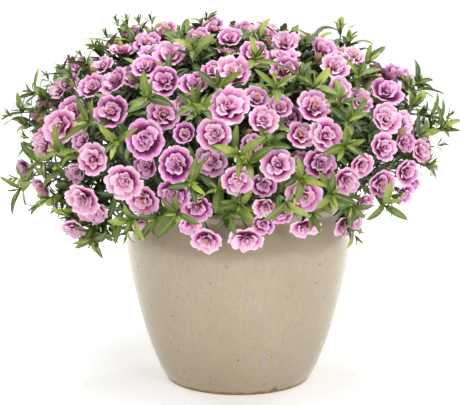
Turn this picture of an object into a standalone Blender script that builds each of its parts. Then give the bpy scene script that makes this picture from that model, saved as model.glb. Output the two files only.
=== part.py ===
"""A potted double calibrachoa: a round mound of ruffled blooms that hangs over a glazed pot.

Units are metres, +Z is up, and the origin is the middle of the pot's flat base, on the floor.
The pot holds potting mix, and leafy shoots stand in holes in it. Each shoot is one solid with its
branches and leaves, and the blooms that it carries are one more solid, joined by their stalks.
"""

import math
import random

import bmesh
import bpy
from mathutils import Matrix, Vector
from mathutils.bvhtree import BVHTree

MM = 0.001
SEED = 31
CLEAR = 0.3 * MM

# The pot, turned on its axis: height above the floor and outer radius, from the foot to the lip.
POT_OUTSIDE = (
    (0.0, 71.5),
    (3.0, 74.0),
    (18.0, 81.5),
    (42.0, 90.5),
    (72.0, 99.5),
    (104.0, 107.5),
    (134.0, 112.2),
    (150.0, 112.4),
    (168.0, 109.0),
    (178.0, 107.0),
    (184.0, 111.0),
    (190.0, 109.5),
)
POT_WALL = 9.0 * MM
POT_FLOOR = 12.0 * MM
POT_INSIDE = (30.0, 72.0, 104.0, 134.0, 150.0, 168.0, 178.0)
POT_SEGMENTS = 30
DRAIN_HOLES = 3
DRAIN_RADIUS = 6.0 * MM
DRAIN_CIRCLE = 38.0 * MM

SOIL_TOP = 172.0 * MM
SOIL_SINK = 18.0 * MM

# The mound that the faces of the blooms lie on: an ellipsoid, flatter below its middle.
MOUND = Vector((-8.0, 0.0, 240.0)) * MM
MOUND_ACROSS = 197.0 * MM
MOUND_DEEP = 188.0 * MM
MOUND_UP = 112.0 * MM
MOUND_DOWN = 96.0 * MM
# How far outside the mound a bloom or tip of the front view may be, as a value of the ellipsoid.
OUTER_REACH = 1.38

# The front view: the eye looks at the pot's axis from above, and one pixel is about 1 mm there.
EYE = Vector((0.0, -1700.0, 540.0)) * MM
AIM = Vector((0.0, 0.0, 170.0)) * MM
AXIS_PIXEL = (238.3, 210.3)
PIXELS_PER_SLOPE = (AIM - EYE).length / MM

# Blooms that show in the front view: across, down and width in pixels of the 460 x 405 frame.
FRONT_BLOOMS = (
    (143, 142, 40), (91, 161, 34), (123, 184, 37), (174, 167, 37), (228, 107, 38), (39, 108, 32),
    (110, 113, 34), (213, 136, 35), (263, 122, 28), (314, 108, 34), (325, 137, 34), (286, 69, 34),
    (277, 167, 31), (246, 243, 34), (205, 243, 31), (305, 231, 32), (349, 226, 30), (303, 199, 36),
    (346, 183, 28), (384, 149, 30), (387, 91, 34), (386, 120, 34), (232, 73, 34), (163, 82, 31),
    (169, 54, 31), (112, 81, 33), (145, 66, 31), (163, 116, 34), (82, 202, 34), (92, 214, 30),
    (172, 196, 35), (196, 210, 32), (142, 203, 31), (210, 164, 29), (236, 184, 32), (59, 127, 36),
    (70, 111, 30), (42, 149, 27), (40, 190, 25), (101, 64, 25), (320, 166, 30), (408, 174, 28),
    (422, 151, 26), (381, 186, 27), (399, 73, 30), (324, 49, 27), (284, 42, 30), (254, 53, 30),
    (211, 25, 26), (229, 37, 27), (163, 29, 28), (147, 43, 28), (131, 32, 24), (193, 84, 26),
    (90, 87, 27), (336, 67, 28), (341, 90, 28), (360, 88, 25), (355, 55, 24), (300, 136, 27),
    (362, 168, 25), (364, 206, 25), (262, 227, 24), (264, 211, 22), (262, 188, 23), (77, 65, 25),
    (197, 36, 25), (256, 99, 25), (279, 108, 25), (362, 101, 26), (405, 123, 26), (421, 137, 24),
    (290, 119, 24), (299, 164, 24), (73, 232, 25), (24, 171, 26), (62, 168, 24), (75, 175, 23),
    (132, 77, 25), (213, 70, 24), (99, 36, 22), (114, 43, 22), (245, 28, 22), (267, 26, 22),
    (343, 52, 22), (57, 88, 22), (68, 82, 22), (404, 196, 23), (413, 187, 20), (405, 143, 22),
    (183, 135, 22), (182, 107, 22), (39, 138, 22), (80, 142, 22), (144, 168, 22), (140, 227, 22),
    (190, 228, 22), (281, 218, 22), (251, 148, 20), (112, 246, 20),
)
# Leafy tips that show in the front view, in the same pixels.
FRONT_TIPS = (
    (103, 48), (198, 49), (258, 40), (304, 45), (338, 41), (289, 95), (313, 88), (338, 104),
    (346, 123), (375, 161), (330, 196), (219, 199), (239, 157), (120, 148), (101, 226), (151, 102),
    (194, 105), (88, 123), (30, 126), (35, 93), (63, 73), (73, 78), (126, 45), (253, 62),
    (299, 76), (366, 72), (411, 89), (408, 101), (430, 115), (442, 138), (258, 148), (343, 150),
    (48, 168), (20, 187), (50, 194), (128, 218), (155, 218), (176, 215), (277, 199), (249, 171),
    (308, 186), (375, 200), (421, 168), (226, 88), (173, 112), (283, 30), (141, 24), (234, 206),
    (92, 238), (60, 152), (205, 120), (245, 132), (308, 214), (158, 150), (190, 186), (350, 206),
    (121, 36), (93, 52), (352, 45), (364, 58), (418, 86), (24, 112), (228, 40), (178, 40), (72, 214),
)

# Blooms and tips elsewhere are spread by the golden angle over the part of the mound not listed above.
GOLDEN_ANGLE = math.pi * (3.0 - math.sqrt(5.0))
SPREAD_BLOOMS = 232
SPREAD_TIPS = 100
LOWEST_NORMAL = -0.62
BLOOM_WIDTHS = (25.0, 36.0)
BLOOM_PUSH = 3.0 * MM
BLOOM_PUSHES = 11

SHOOTS = 29
SHOOT_REACH = 0.68
SHOOT_WIDEST = math.radians(104.0)
HOLE_CIRCLE = 74.0 * MM
STEM_RADIUS = 1.9 * MM
BRANCH_RADIUS = 1.2 * MM
STALK_RADIUS = 1.2 * MM
TUBE_LENGTH = 15.0 * MM
NOTCH = 0.94
MOST_BLOOMS = 9
KNOT_RADIUS = 4.6 * MM
KNOT_HEIGHT = 5.0 * MM
# Below the rim, blooms and tips hang at least this far out from the pot's axis.
HANG_CIRCLE = 136.0 * MM
HANG_BELOW = 178.0 * MM
RIM_CLEAR = 212.0 * MM

LEAF_LENGTHS = (20.0, 31.0)
LEAF_ASPECT = (0.27, 0.36)
LEAF_THICK = 1.0 * MM
TIERS = 1
TIP_SINK = 3.0 * MM
TIER_TALL = 2.4 * MM
TIER_GAP = 6.0 * MM
GROW = 0.45 * MM


def squared(value):
    return value * value


def mound_value(point):
    """1 on the mound, less inside it."""
    off = point - MOUND
    tall = MOUND_UP if off.z > 0 else MOUND_DOWN
    return squared(off.x / MOUND_ACROSS) + squared(off.y / MOUND_DEEP) + squared(off.z / tall)


def mound_normal(point):
    off = point - MOUND
    tall = MOUND_UP if off.z > 0 else MOUND_DOWN
    normal = Vector((off.x / squared(MOUND_ACROSS), off.y / squared(MOUND_DEEP), off.z / squared(tall)))
    return normal.normalized()


def mound_point(direction):
    """The point of the mound that lies this way from its middle."""
    return MOUND + direction / math.sqrt(mound_value(MOUND + direction))


def sight_line(across, down):
    """The direction from the eye through a pixel of the front view."""
    forward = (AIM - EYE).normalized()
    right = Vector((1.0, 0.0, 0.0))
    up = right.cross(forward)
    slope_x = (across - AXIS_PIXEL[0]) / PIXELS_PER_SLOPE
    slope_y = (AXIS_PIXEL[1] - down) / PIXELS_PER_SLOPE
    return (forward + right * slope_x + up * slope_y).normalized()


def seen_point(across, down):
    """Where the mound is first met behind a pixel, or the nearest pass where it is missed."""
    line = sight_line(across, down)
    reach = (MOUND - EYE).length
    step = 1.5 * MM
    best, best_value = None, 9.0
    for i in range(300):
        point = EYE + line * (reach - 225.0 * MM + i * step)
        value = mound_value(point)
        if value < best_value:
            best, best_value = point, value
        if value <= 1.0:
            break
    if best_value > OUTER_REACH:
        best = MOUND + (best - MOUND) * math.sqrt(OUTER_REACH / best_value)
    while best.z < RIM_CLEAR and math.hypot(best.x, best.y) < HANG_CIRCLE:
        best = best - line * step
    return best, line


def frame_of(axis, roll):
    """A rotation whose Z is this axis, turned about it by roll."""
    return axis.to_track_quat("Z", "Y").to_matrix() @ Matrix.Rotation(roll, 3, "Z")


class Piece:
    """One small closed shape: its corners, its faces, and the solid that it belongs to."""

    def __init__(self, points, faces, owner):
        self.points = points
        self.faces = faces
        self.owner = owner
        self.middle = sum(points, Vector()) / len(points)
        self.reach = max((p - self.middle).length for p in points)
        self.tree = BVHTree.FromPolygons(points, faces)

    def crosses(self, others, skip=()):
        for other in others:
            if other in skip or (other.middle - self.middle).length > other.reach + self.reach:
                continue
            if self.tree.overlap(other.tree):
                return True
        return False


def ring(count, radius, height, start=0.0):
    """Points evenly round Z."""
    turns = [start + 2 * math.pi * i / count for i in range(count)]
    return [Vector((radius * math.cos(a), radius * math.sin(a), height)) for a in turns]


def bloom_shape(radius, layered, grow=0.0):
    """A double bloom that faces +Z: five notched lobes round a groove, and the rosette inside it.

    The rosette is a raised five-sided cup where it is layered, and a raised point where it isn't.
    """
    rim = radius + grow
    points = ring(3, STALK_RADIUS, -TUBE_LENGTH, math.pi / 5)
    for i in range(10):
        angle = i * math.pi / 5
        lobe = i % 2 == 0
        out = rim if lobe else rim * NOTCH
        points.append(Vector((out * math.cos(angle), out * math.sin(angle), (-0.9 if lobe else 0.9) * MM)))
    points += ring(5, 0.54 * rim, -3.4 * MM + grow, math.pi / 5)
    rim_at, groove_at, top_at = 3, 13, 18
    faces = [(0, 2, 1)]
    for k, (first, last) in enumerate(((0, 3), (3, 7), (7, 10))):
        faces += [(k, rim_at + (i + 1) % 10, rim_at + i) for i in range(first, last)]
        faces.append((k, (k + 1) % 3, rim_at + last % 10))
    if layered:
        points += ring(5, 0.45 * rim, 2.6 * MM + grow, math.pi / 5)
        faces += [(top_at, top_at + 1, top_at + 2), (top_at, top_at + 2, top_at + 3)]
        faces.append((top_at, top_at + 3, top_at + 4))
    else:
        points.append(Vector((0.0, 0.0, 3.4 * MM + grow)))
    for i in range(5):
        lobe, notch, next_lobe = rim_at + 2 * i, rim_at + 2 * i + 1, rim_at + (2 * i + 2) % 10
        this, following = groove_at + i, groove_at + (i + 1) % 5
        faces += [(lobe, notch, this), (notch, next_lobe, this), (this, next_lobe, following)]
        if layered:
            top, top_next = top_at + i, top_at + (i + 1) % 5
            faces += [(this, following, top), (following, top_next, top)]
        else:
            faces.append((this, following, top_at))
    return points, faces


def stalked(shape, axis, stops):
    """The bloom with its stalk: the three corners of its tail drawn on through the stops."""
    points, faces = list(shape[0]), shape[1][1:]
    tail = points[:3]
    middle = (tail[0] + tail[1] + tail[2]) / 3
    route = [middle] + stops
    near = (0, 1, 2)
    for i in range(1, len(route)):
        ahead = route[min(i + 1, len(route) - 1)] - route[i - 1]
        turn = axis.rotation_difference(-ahead.normalized())
        far = tuple(range(len(points), len(points) + 3))
        points += [route[i] + turn @ (corner - middle) for corner in tail]
        for k in range(3):
            m = (k + 1) % 3
            faces += [(near[k], far[k], near[m]), (far[k], far[m], near[m])]
        near = far
    faces.append((near[0], near[2], near[1]))
    return points, faces


def tube_shape(route, radii, sides):
    """A closed tube along a route of points."""
    points, faces = [], []
    for i, point in enumerate(route):
        ahead = route[min(i + 1, len(route) - 1)] - route[max(i - 1, 0)]
        turn = frame_of(ahead.normalized(), 0.0)
        for k in range(sides):
            angle = 2 * math.pi * k / sides
            points.append(point + turn @ Vector((math.cos(angle), math.sin(angle), 0.0)) * radii[i])
    for i in range(len(route) - 1):
        for k in range(sides):
            a, b = i * sides + k, i * sides + (k + 1) % sides
            faces += [(a, b, b + sides), (a, b + sides, a + sides)]
    last = (len(route) - 1) * sides
    for k in range(1, sides - 1):
        faces += [(0, k + 1, k), (last, last + k, last + k + 1)]
    return points, faces


def bend(start, pull, end, count):
    """Points of a quadratic curve."""
    route = []
    for i in range(count):
        t = i / (count - 1)
        route.append(start * squared(1 - t) + pull * 2 * t * (1 - t) + end * squared(t))
    return route


def placed(shape, turn, at):
    points, faces = shape
    return [at + turn @ p for p in points], faces


class Bloom:
    """Where a bloom sits, the way it faces and its radius."""

    def __init__(self, at, axis, roll, radius, layered):
        self.at = at
        self.axis = axis
        self.roll = roll
        self.radius = radius
        self.layered = layered
        self.shoot = None
        self.piece = None

    def shape(self, grow=0.0):
        return placed(bloom_shape(self.radius, self.layered, grow), frame_of(self.axis, self.roll), self.at)

    def tail(self):
        return self.at - self.axis * TUBE_LENGTH


class Shoot:
    """A stem from its hole in the soil to the knot that its branches and stalks leave from."""

    def __init__(self, number, hole, knot, outward):
        self.number = number
        self.hole = hole
        self.knot = knot
        self.outward = outward
        self.green = []
        self.pink = []


class Plant:
    """The whole layout. Everything is drawn in a fixed order from one seeded source."""

    def __init__(self):
        self.draw = random.Random(SEED)
        self.pieces = []
        self.shoots = []
        self.blooms = []
        self.tips = []
        self.lost = {"bloom": 0, "stalk": 0, "branch": 0, "leaf": 0}
        self.add(turned_shape(pot_profile(), 24), "pot")
        lid = [(0.0, SOIL_TOP - 9 * MM), (96 * MM, SOIL_TOP - 9 * MM), (96 * MM, SOIL_TOP + 3 * MM)]
        self.add(turned_shape(lid + [(0.0, SOIL_TOP + 3 * MM)], 24), "soil")

    def add(self, shape, owner):
        piece = Piece(shape[0], shape[1], owner)
        self.pieces.append(piece)
        return piece

    def clear(self, shape, owner=None, skip=()):
        """True where the shape crosses no piece. Pieces of the owner's own solid don't count."""
        trial = Piece(shape[0], shape[1], owner)
        return not trial.crosses([p for p in self.pieces if owner is None or p.owner != owner], skip)

    def jitter(self, size):
        return Vector([self.draw.gauss(0.0, size) for _ in range(3)])

    def grow(self):
        self.make_shoots()
        self.front_blooms()
        self.make_stalks()
        self.front_tips()
        self.spread_blooms()
        self.make_stalks()
        self.spread_tips()

    def make_shoots(self):
        for i in range(SHOOTS):
            polar = SHOOT_WIDEST * math.sqrt((i + 0.5) / SHOOTS)
            angle = i * GOLDEN_ANGLE
            flat = Vector((math.cos(angle), math.sin(angle), 0.0))
            way = flat * math.sin(polar) + Vector((0.0, 0.0, math.cos(polar)))
            knot = MOUND + (mound_point(way) - MOUND) * SHOOT_REACH
            knot.z = max(knot.z, RIM_CLEAR)
            hole = flat * HOLE_CIRCLE * (polar / SHOOT_WIDEST)
            hole.z = SOIL_TOP - SOIL_SINK
            outward = (knot - Vector((knot.x * 0.6, knot.y * 0.6, SOIL_TOP))).normalized()
            shoot = Shoot(i + 1, hole, knot, outward)
            foot = knot - outward * KNOT_HEIGHT
            top_of_hole = hole + Vector((0.0, 0.0, SOIL_SINK + 4 * MM))
            route = [hole, top_of_hole, foot - outward * 8 * MM, knot]
            radii = [STEM_RADIUS, STEM_RADIUS, STEM_RADIUS * 1.1, KNOT_RADIUS]
            shoot.green.append(self.add(tube_shape(route, radii, 4), ("green", i + 1)))
            low = knot + outward * CLEAR
            high = low + outward * KNOT_HEIGHT
            shoot.pink.append(self.add(tube_shape([low, high], [KNOT_RADIUS] * 2, 4), ("pink", i + 1)))
            self.shoots.append(shoot)

    def settle(self, bloom, inward):
        """Pushes a bloom into the mound until it is clear of the others."""
        for _ in range(BLOOM_PUSHES):
            if self.clear(bloom.shape(GROW)):
                bloom.piece = self.add(bloom.shape(), None)
                self.blooms.append(bloom)
                return True
            bloom.at = bloom.at + inward * BLOOM_PUSH
        self.lost["bloom"] += 1
        return False

    def front_blooms(self):
        for across, down, width in FRONT_BLOOMS:
            at, line = seen_point(across, down)
            axis = (mound_normal(at) * 0.62 - line * 0.38 + self.jitter(0.10)).normalized()
            bloom = Bloom(at, axis, self.draw.uniform(0, 2 * math.pi), width / 2 * MM, width >= 30)
            self.settle(bloom, line if at.z > HANG_BELOW else -line)

    def spread_blooms(self):
        for i in range(SPREAD_BLOOMS):
            way = self.spread_way(i, SPREAD_BLOOMS)
            at = mound_point(way)
            normal = mound_normal(at)
            width = self.draw.uniform(*BLOOM_WIDTHS)
            axis = (normal + self.jitter(0.16)).normalized()
            roll = self.draw.uniform(0, 2 * math.pi)
            if normal.z < LOWEST_NORMAL or normal.dot((EYE - at).normalized()) > 0.42:
                continue
            self.settle(Bloom(at, axis, roll, width / 2 * MM, False), -normal)

    def spread_way(self, i, count):
        """The i-th of directions spread evenly over a sphere, a little shaken."""
        up = 1.0 - (2 * i + 1) / count
        angle = i * GOLDEN_ANGLE
        flat = math.sqrt(1.0 - squared(up))
        way = Vector((flat * math.cos(angle), flat * math.sin(angle), up)) + self.jitter(0.025)
        return way.normalized()

    def make_stalks(self):
        for bloom in [b for b in self.blooms if b.shoot is None]:
            near = sorted(self.shoots, key=lambda s: (s.knot + s.outward * 14 * MM - bloom.tail()).length)
            near = [s for s in near if len(s.pink) <= MOST_BLOOMS]
            if not any(self.join_stalk(bloom, shoot) for shoot in near[:4]):
                self.lost["stalk"] += 1
        for bloom in [b for b in self.blooms if b.shoot is None]:
            self.blooms.remove(bloom)
            self.pieces.remove(bloom.piece)

    def join_stalk(self, bloom, shoot):
        owner = ("pink", shoot.number)
        away = bloom.tail() - shoot.knot
        across = away - shoot.outward * away.dot(shoot.outward)
        start = shoot.knot + shoot.outward * (CLEAR + KNOT_HEIGHT * 0.5)
        start = start + across.normalized() * KNOT_RADIUS * 0.45
        span = (bloom.tail() - start).length
        for i in range(8):
            via = None
            if i:
                via = (start + bloom.tail()) / 2 - bloom.axis * span * 0.16 + self.jitter(1.0) * i * 2.0 * MM
            route = [start, bloom.tail()] if via is None else [start, via, bloom.tail()]
            if self.clear(tube_shape(route, [STALK_RADIUS + GROW] * len(route), 6), owner, (bloom.piece,)):
                self.pieces.remove(bloom.piece)
                stops = [start] if via is None else [via, start]
                bloom.piece = self.add(stalked(bloom.shape(), bloom.axis, stops), owner)
                shoot.pink.append(bloom.piece)
                bloom.shoot = shoot
                bloom.via = via
                return True
        return False

    def front_tips(self):
        for across, down in FRONT_TIPS:
            at, line = seen_point(across, down)
            normal = mound_normal(at)
            at = at - Vector((0.0, 0.0, TIP_SINK * 0.6 * max(normal.z, 0.0)))
            self.make_tip(at - line * 3.0 * MM, (normal * 0.7 - line * 0.3).normalized())

    def spread_tips(self):
        for i in range(SPREAD_TIPS):
            at = mound_point(self.spread_way(i, SPREAD_TIPS))
            normal = mound_normal(at)
            at = at - normal * TIP_SINK * max(normal.z, 0.0)
            if normal.z < LOWEST_NORMAL or normal.dot((EYE - at).normalized()) > 0.3:
                continue
            self.make_tip(at, normal)

    def make_tip(self, at, outward):
        """A leafy tip, on a branch from the nearest knot that it can be reached from."""
        axis = (outward + self.jitter(0.2) + Vector((0.0, 0.0, 0.25))).normalized()
        roll = self.draw.uniform(0, 2 * math.pi)
        near = sorted(self.shoots, key=lambda s: (s.knot - at).length)
        for shoot in near[:4]:
            owner = ("green", shoot.number)
            away = at - shoot.knot
            across = away - shoot.outward * away.dot(shoot.outward)
            start = shoot.knot - shoot.outward * KNOT_HEIGHT * 0.4 + across.normalized() * KNOT_RADIUS * 0.35
            for i in range(7):
                end = at + self.jitter(1.0) * i * 1.1 * MM
                via = (start + end) / 2 - axis * (end - start).length * 0.12 + self.jitter(1.0) * i * 1.2 * MM
                route = [start, via, end] if i > 1 else [start, end]
                if self.clear(tube_shape(route, [BRANCH_RADIUS + GROW] * len(route), 6), owner):
                    tip = Tip(route, axis, roll)
                    if not self.clear(tip.shape(GROW), owner):
                        continue
                    self.grow_leaves(tip, owner)
                    tip.shoot = shoot
                    shoot.green.append(self.add(tip.shape(), owner))
                    self.tips.append(tip)
                    return
        self.lost["branch"] += 1

    def grow_leaves(self, tip, owner):
        """Leaves for the three sides of each tier, each one turned and shortened until it is clear."""
        for tier in range(TIERS):
            for side in range(3):
                length = self.draw.uniform(*LEAF_LENGTHS) * MM * (1.0 - 0.2 * tier)
                width = length * self.draw.uniform(*LEAF_ASPECT)
                rise = math.radians(self.draw.uniform(14, 34) + 22 * tier)
                for i in range(8):
                    leaf = Leaf(length * (1 - 0.05 * i), width, rise + 0.1 * i, (0, 0.3, -0.3, 0.5)[i % 4])
                    tip.leaves[(tier, side)] = leaf
                    if self.clear(tip.leaf_hull(tier, side, leaf)) and self.clear(tip.shape(GROW), owner):
                        break
                    del tip.leaves[(tier, side)]
                else:
                    self.lost["leaf"] += 1


class Leaf:
    """One blade of a tip: its length and width, how far it rises and how far it is swung aside."""

    def __init__(self, length, width, rise, swing):
        self.length = length
        self.width = width
        self.rise = rise
        self.swing = swing


class Tip:
    """The end of a branch: three-sided, with a leaf grown from each side of each tier and a last one on top."""

    def __init__(self, route, axis, roll):
        self.route = route
        self.axis = axis
        self.turn = frame_of(axis, roll)
        self.leaves = {}
        self.shoot = None

    def blade(self, tier, side, leaf, grow=0.0):
        """The left, under, right and upper corners of a blade's widest section, and its point."""
        angle = 2 * math.pi * (side + 0.5) / 3 + leaf.swing
        out = Vector((math.cos(angle), math.sin(angle), 0.0))
        along = out * math.cos(leaf.rise) + Vector((0.0, 0.0, math.sin(leaf.rise)))
        top = Vector((0.0, 0.0, math.cos(leaf.rise))) - out * math.sin(leaf.rise)
        wide = top.cross(along) * (leaf.width / 2 + grow)
        thick = top * (LEAF_THICK / 2 + grow)
        base = Vector((0.0, 0.0, tier * TIER_GAP)) + out * BRANCH_RADIUS * 0.5
        middle = base + along * leaf.length * 0.5 + top * leaf.length * 0.05
        edge = top * leaf.width * 0.16
        return [middle - wide + edge, middle - thick, middle + wide + edge, middle + thick, base + along * leaf.length]

    def leaf_hull(self, tier, side, leaf):
        """The blade alone, a little larger, to test for room."""
        corners = self.blade(tier, side, leaf, GROW)
        root = self.blade(tier, side, Leaf(leaf.length * 0.2, leaf.width, leaf.rise, leaf.swing))[4]
        points = [self.route[-1] + self.turn @ p for p in [root] + corners]
        faces = [(0, 1 + i, 1 + (i + 1) % 4) for i in range(4)]
        return points, faces + [(5, 1 + (i + 1) % 4, 1 + i) for i in range(4)]

    def shape(self, grow=0.0):
        """The branch, its blades and its last leaf as one closed mesh, with nothing that crosses."""
        points = []
        radius = BRANCH_RADIUS + grow
        for i, stop in enumerate(self.route[:-1]):
            ahead = (self.route[i + 1] - self.route[max(i - 1, 0)]).normalized()
            lean = self.axis.rotation_difference(ahead)
            points += [stop + lean @ (self.turn @ p) for p in ring(3, radius, 0.0)]
        faces = [(0, 2, 1)]
        rings = len(self.route) - 1
        for tier in range(TIERS):
            for height in (-TIER_TALL / 2, TIER_TALL / 2):
                level = ring(3, radius, tier * TIER_GAP + height)
                points += [self.route[-1] + self.turn @ p for p in level]
        for i in range(rings + 2 * TIERS - 1):
            tiered = i >= rings and (i - rings) % 2 == 0
            for k in range(3):
                low, low_next = 3 * i + k, 3 * i + (k + 1) % 3
                base = (low, low_next, low_next + 3, low + 3)
                leaf = self.leaves.get(((i - rings) // 2, k)) if tiered else None
                if leaf is None:
                    faces += [(base[0], base[1], base[3]), (base[1], base[2], base[3])]
                    continue
                at = len(points)
                blade = self.blade((i - rings) // 2, k, leaf, grow)
                points += [self.route[-1] + self.turn @ p for p in blade]
                for j in range(4):
                    n = (j + 1) % 4
                    faces += [(base[j], base[n], at + n), (base[j], at + n, at + j)]
                    faces.append((at + j, at + n, at + 4))
        last = 3 * (rings + 2 * TIERS - 1)
        at = len(points)
        top = (TIERS - 1) * TIER_GAP
        points += [self.route[-1] + self.turn @ p for p in ring(3, radius * 1.9, top + 5 * MM)]
        points.append(self.route[-1] + self.turn @ Vector((0.0, 0.0, top + 13 * MM + grow)))
        for k in range(3):
            n = (k + 1) % 3
            faces += [(last + k, last + n, at + n), (last + k, at + n, at + k), (at + k, at + n, at + 3)]
        return points, faces


def material(name, colour, roughness):
    made = bpy.data.materials.new(name)
    made.use_nodes = True
    shader = made.node_tree.nodes["Principled BSDF"]
    shader.inputs["Base Color"].default_value = (*colour, 1.0)
    shader.inputs["Roughness"].default_value = roughness
    made.diffuse_color = (*colour, 1.0)
    return made


def mesh_object(name, points, faces, look):
    mesh = bpy.data.meshes.new(name)
    mesh.from_pydata([tuple(p) for p in points], [], faces)
    mesh.materials.append(look)
    mesh.update()
    made = bpy.data.objects.new(name, mesh)
    bpy.context.scene.collection.objects.link(made)
    return made


def turned_shape(profile, segments):
    """A closed solid from a profile of (radius, height) that starts and ends on the axis."""
    points = [Vector((0.0, 0.0, profile[0][1]))]
    faces = []
    rings = profile[1:-1]
    for radius, height in rings:
        for k in range(segments):
            angle = 2 * math.pi * k / segments
            points.append(Vector((radius * math.cos(angle), radius * math.sin(angle), height)))
    points.append(Vector((0.0, 0.0, profile[-1][1])))
    top = len(points) - 1
    for k in range(segments):
        following = (k + 1) % segments
        faces.append((0, 1 + following, 1 + k))
        for r in range(len(rings) - 1):
            a, b = 1 + r * segments, 1 + (r + 1) * segments
            faces.append((a + k, a + following, b + following, b + k))
        last = 1 + (len(rings) - 1) * segments
        faces.append((last + k, last + following, top))
    return points, faces


def outer_radius(height):
    """The pot's outer radius at a height, straight between the profile's points."""
    for (low, low_radius), (high, high_radius) in zip(POT_OUTSIDE, POT_OUTSIDE[1:]):
        if height <= high * MM:
            share = (height / MM - low) / (high - low)
            return (low_radius + (high_radius - low_radius) * share) * MM
    return POT_OUTSIDE[-1][1] * MM


def inside_profile(clearance, bottom, top):
    """The profile of the pot's inside, from its floor up, moved inward by a clearance."""
    heights = [bottom] + [h * MM for h in POT_INSIDE if h * MM < top - 4 * MM] + [top]
    return [(outer_radius(h) - POT_WALL - clearance, h) for h in heights]


def cut(target, cutter):
    cutter.hide_render = True
    cutter.display_type = "WIRE"
    step = target.modifiers.new("cut_" + cutter.name, "BOOLEAN")
    step.operation = "DIFFERENCE"
    step.object = cutter


def pot_profile():
    """The pot's section, from the middle of its base round the lip to the middle of its floor."""
    top = POT_OUTSIDE[-1][0] * MM
    profile = [(0.0, 0.0)] + [(r * MM, h * MM) for h, r in POT_OUTSIDE]
    profile += [(r, h) for r, h in reversed(inside_profile(0.0, POT_FLOOR, top))]
    return profile + [(0.0, POT_FLOOR)]


def make_pot(look):
    pot = mesh_object("pot", *turned_shape(pot_profile(), POT_SEGMENTS), look)
    centres = [2 * math.pi * i / DRAIN_HOLES for i in range(DRAIN_HOLES)]
    for i, angle in enumerate(centres):
        centre = Vector((DRAIN_CIRCLE * math.cos(angle), DRAIN_CIRCLE * math.sin(angle), -2 * MM))
        route = [centre, centre + Vector((0.0, 0.0, POT_FLOOR + 4 * MM))]
        cut(pot, mesh_object(f"drain_cutter_{i + 1}", *tube_shape(route, [DRAIN_RADIUS] * 2, 12), look))
    pot.data.shade_smooth()
    pot.data.set_sharp_from_angle(angle=math.radians(35))
    return pot


def make_soil(plant, look):
    profile = [(0.0, POT_FLOOR + CLEAR)] + inside_profile(CLEAR, POT_FLOOR + CLEAR, SOIL_TOP)
    profile += [(60.0 * MM, SOIL_TOP + 1.5 * MM), (0.0, SOIL_TOP + 2.0 * MM)]
    soil = mesh_object("soil", *turned_shape(profile, POT_SEGMENTS), look)
    points, faces = [], []
    for shoot in plant.shoots:
        route = [shoot.hole - Vector((0.0, 0.0, CLEAR)), shoot.hole + Vector((0.0, 0.0, SOIL_SINK + 6 * MM))]
        hole_points, hole_faces = tube_shape(route, [STEM_RADIUS + 1.3 * MM] * 2, 4)
        faces += [tuple(c + len(points) for c in face) for face in hole_faces]
        points += hole_points
    cut(soil, mesh_object("stem_hole_cutter", points, faces, look))
    return soil


def join(name, pieces, look):
    """One solid from pieces that overlap: the first takes in all the rest by a Boolean union."""
    first = mesh_object(name, pieces[0].points, pieces[0].faces, look)
    if len(pieces) == 1:
        return first
    rest = bpy.data.collections.new(name + "_rest")
    bpy.context.scene.collection.children.link(rest)
    for i, piece in enumerate(pieces[1:]):
        added = mesh_object(f"{name}_{i}", piece.points, piece.faces, look)
        bpy.context.scene.collection.objects.unlink(added)
        rest.objects.link(added)
    union = first.modifiers.new("join", "BOOLEAN")
    union.operation = "UNION"
    union.operand_type = "COLLECTION"
    union.collection = rest
    union.solver = "MANIFOLD"
    apply_union(first)
    for added in list(rest.objects):
        bpy.data.objects.remove(added)
    bpy.data.collections.remove(rest)
    return first


def apply_union(target):
    bpy.context.view_layer.update()
    graph = bpy.context.evaluated_depsgraph_get()
    joined = bpy.data.meshes.new_from_object(target.evaluated_get(graph))
    target.modifiers.clear()
    target.data = joined


def main():
    for old in list(bpy.data.objects):
        bpy.data.objects.remove(old)
    plant = Plant()
    plant.grow()
    print("blooms", len(plant.blooms), "tips", len(plant.tips), "pieces", len(plant.pieces), "lost", plant.lost)
    make_pot(material("glazed_stoneware", (0.51, 0.42, 0.29), 0.15))
    make_soil(plant, material("potting_mix", (0.05, 0.035, 0.025), 0.95))
    green = material("leaf_green", (0.13, 0.25, 0.05), 0.5)
    pink = material("petal_pink", (0.72, 0.27, 0.52), 0.6)
    for shoot in plant.shoots:
        join(f"shoot_{shoot.number:02d}", shoot.green, green)
        if len(shoot.pink) > 1:
            join(f"blooms_{shoot.number:02d}", shoot.pink, pink)


main()
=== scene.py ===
"""A potted double calibrachoa, dressed over its CAD frame.

Lengths are in metres in the frame's own axes: +Z up, the viewer at -Y, the origin under the pot.
Plant places every shoot, bloom and leafy tip where the frame's solids are. Thicket, Pot and Soil
build the fine petals, leaves, pot and soil round that layout, and Studio sets the stage.
"""

import logging
import math
import random
from dataclasses import dataclass, field
from enum import Enum
from typing import Iterable, Optional

import bmesh
import bpy
import numpy as np
from mathutils import Matrix, Vector
from mathutils.bvhtree import BVHTree

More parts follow.
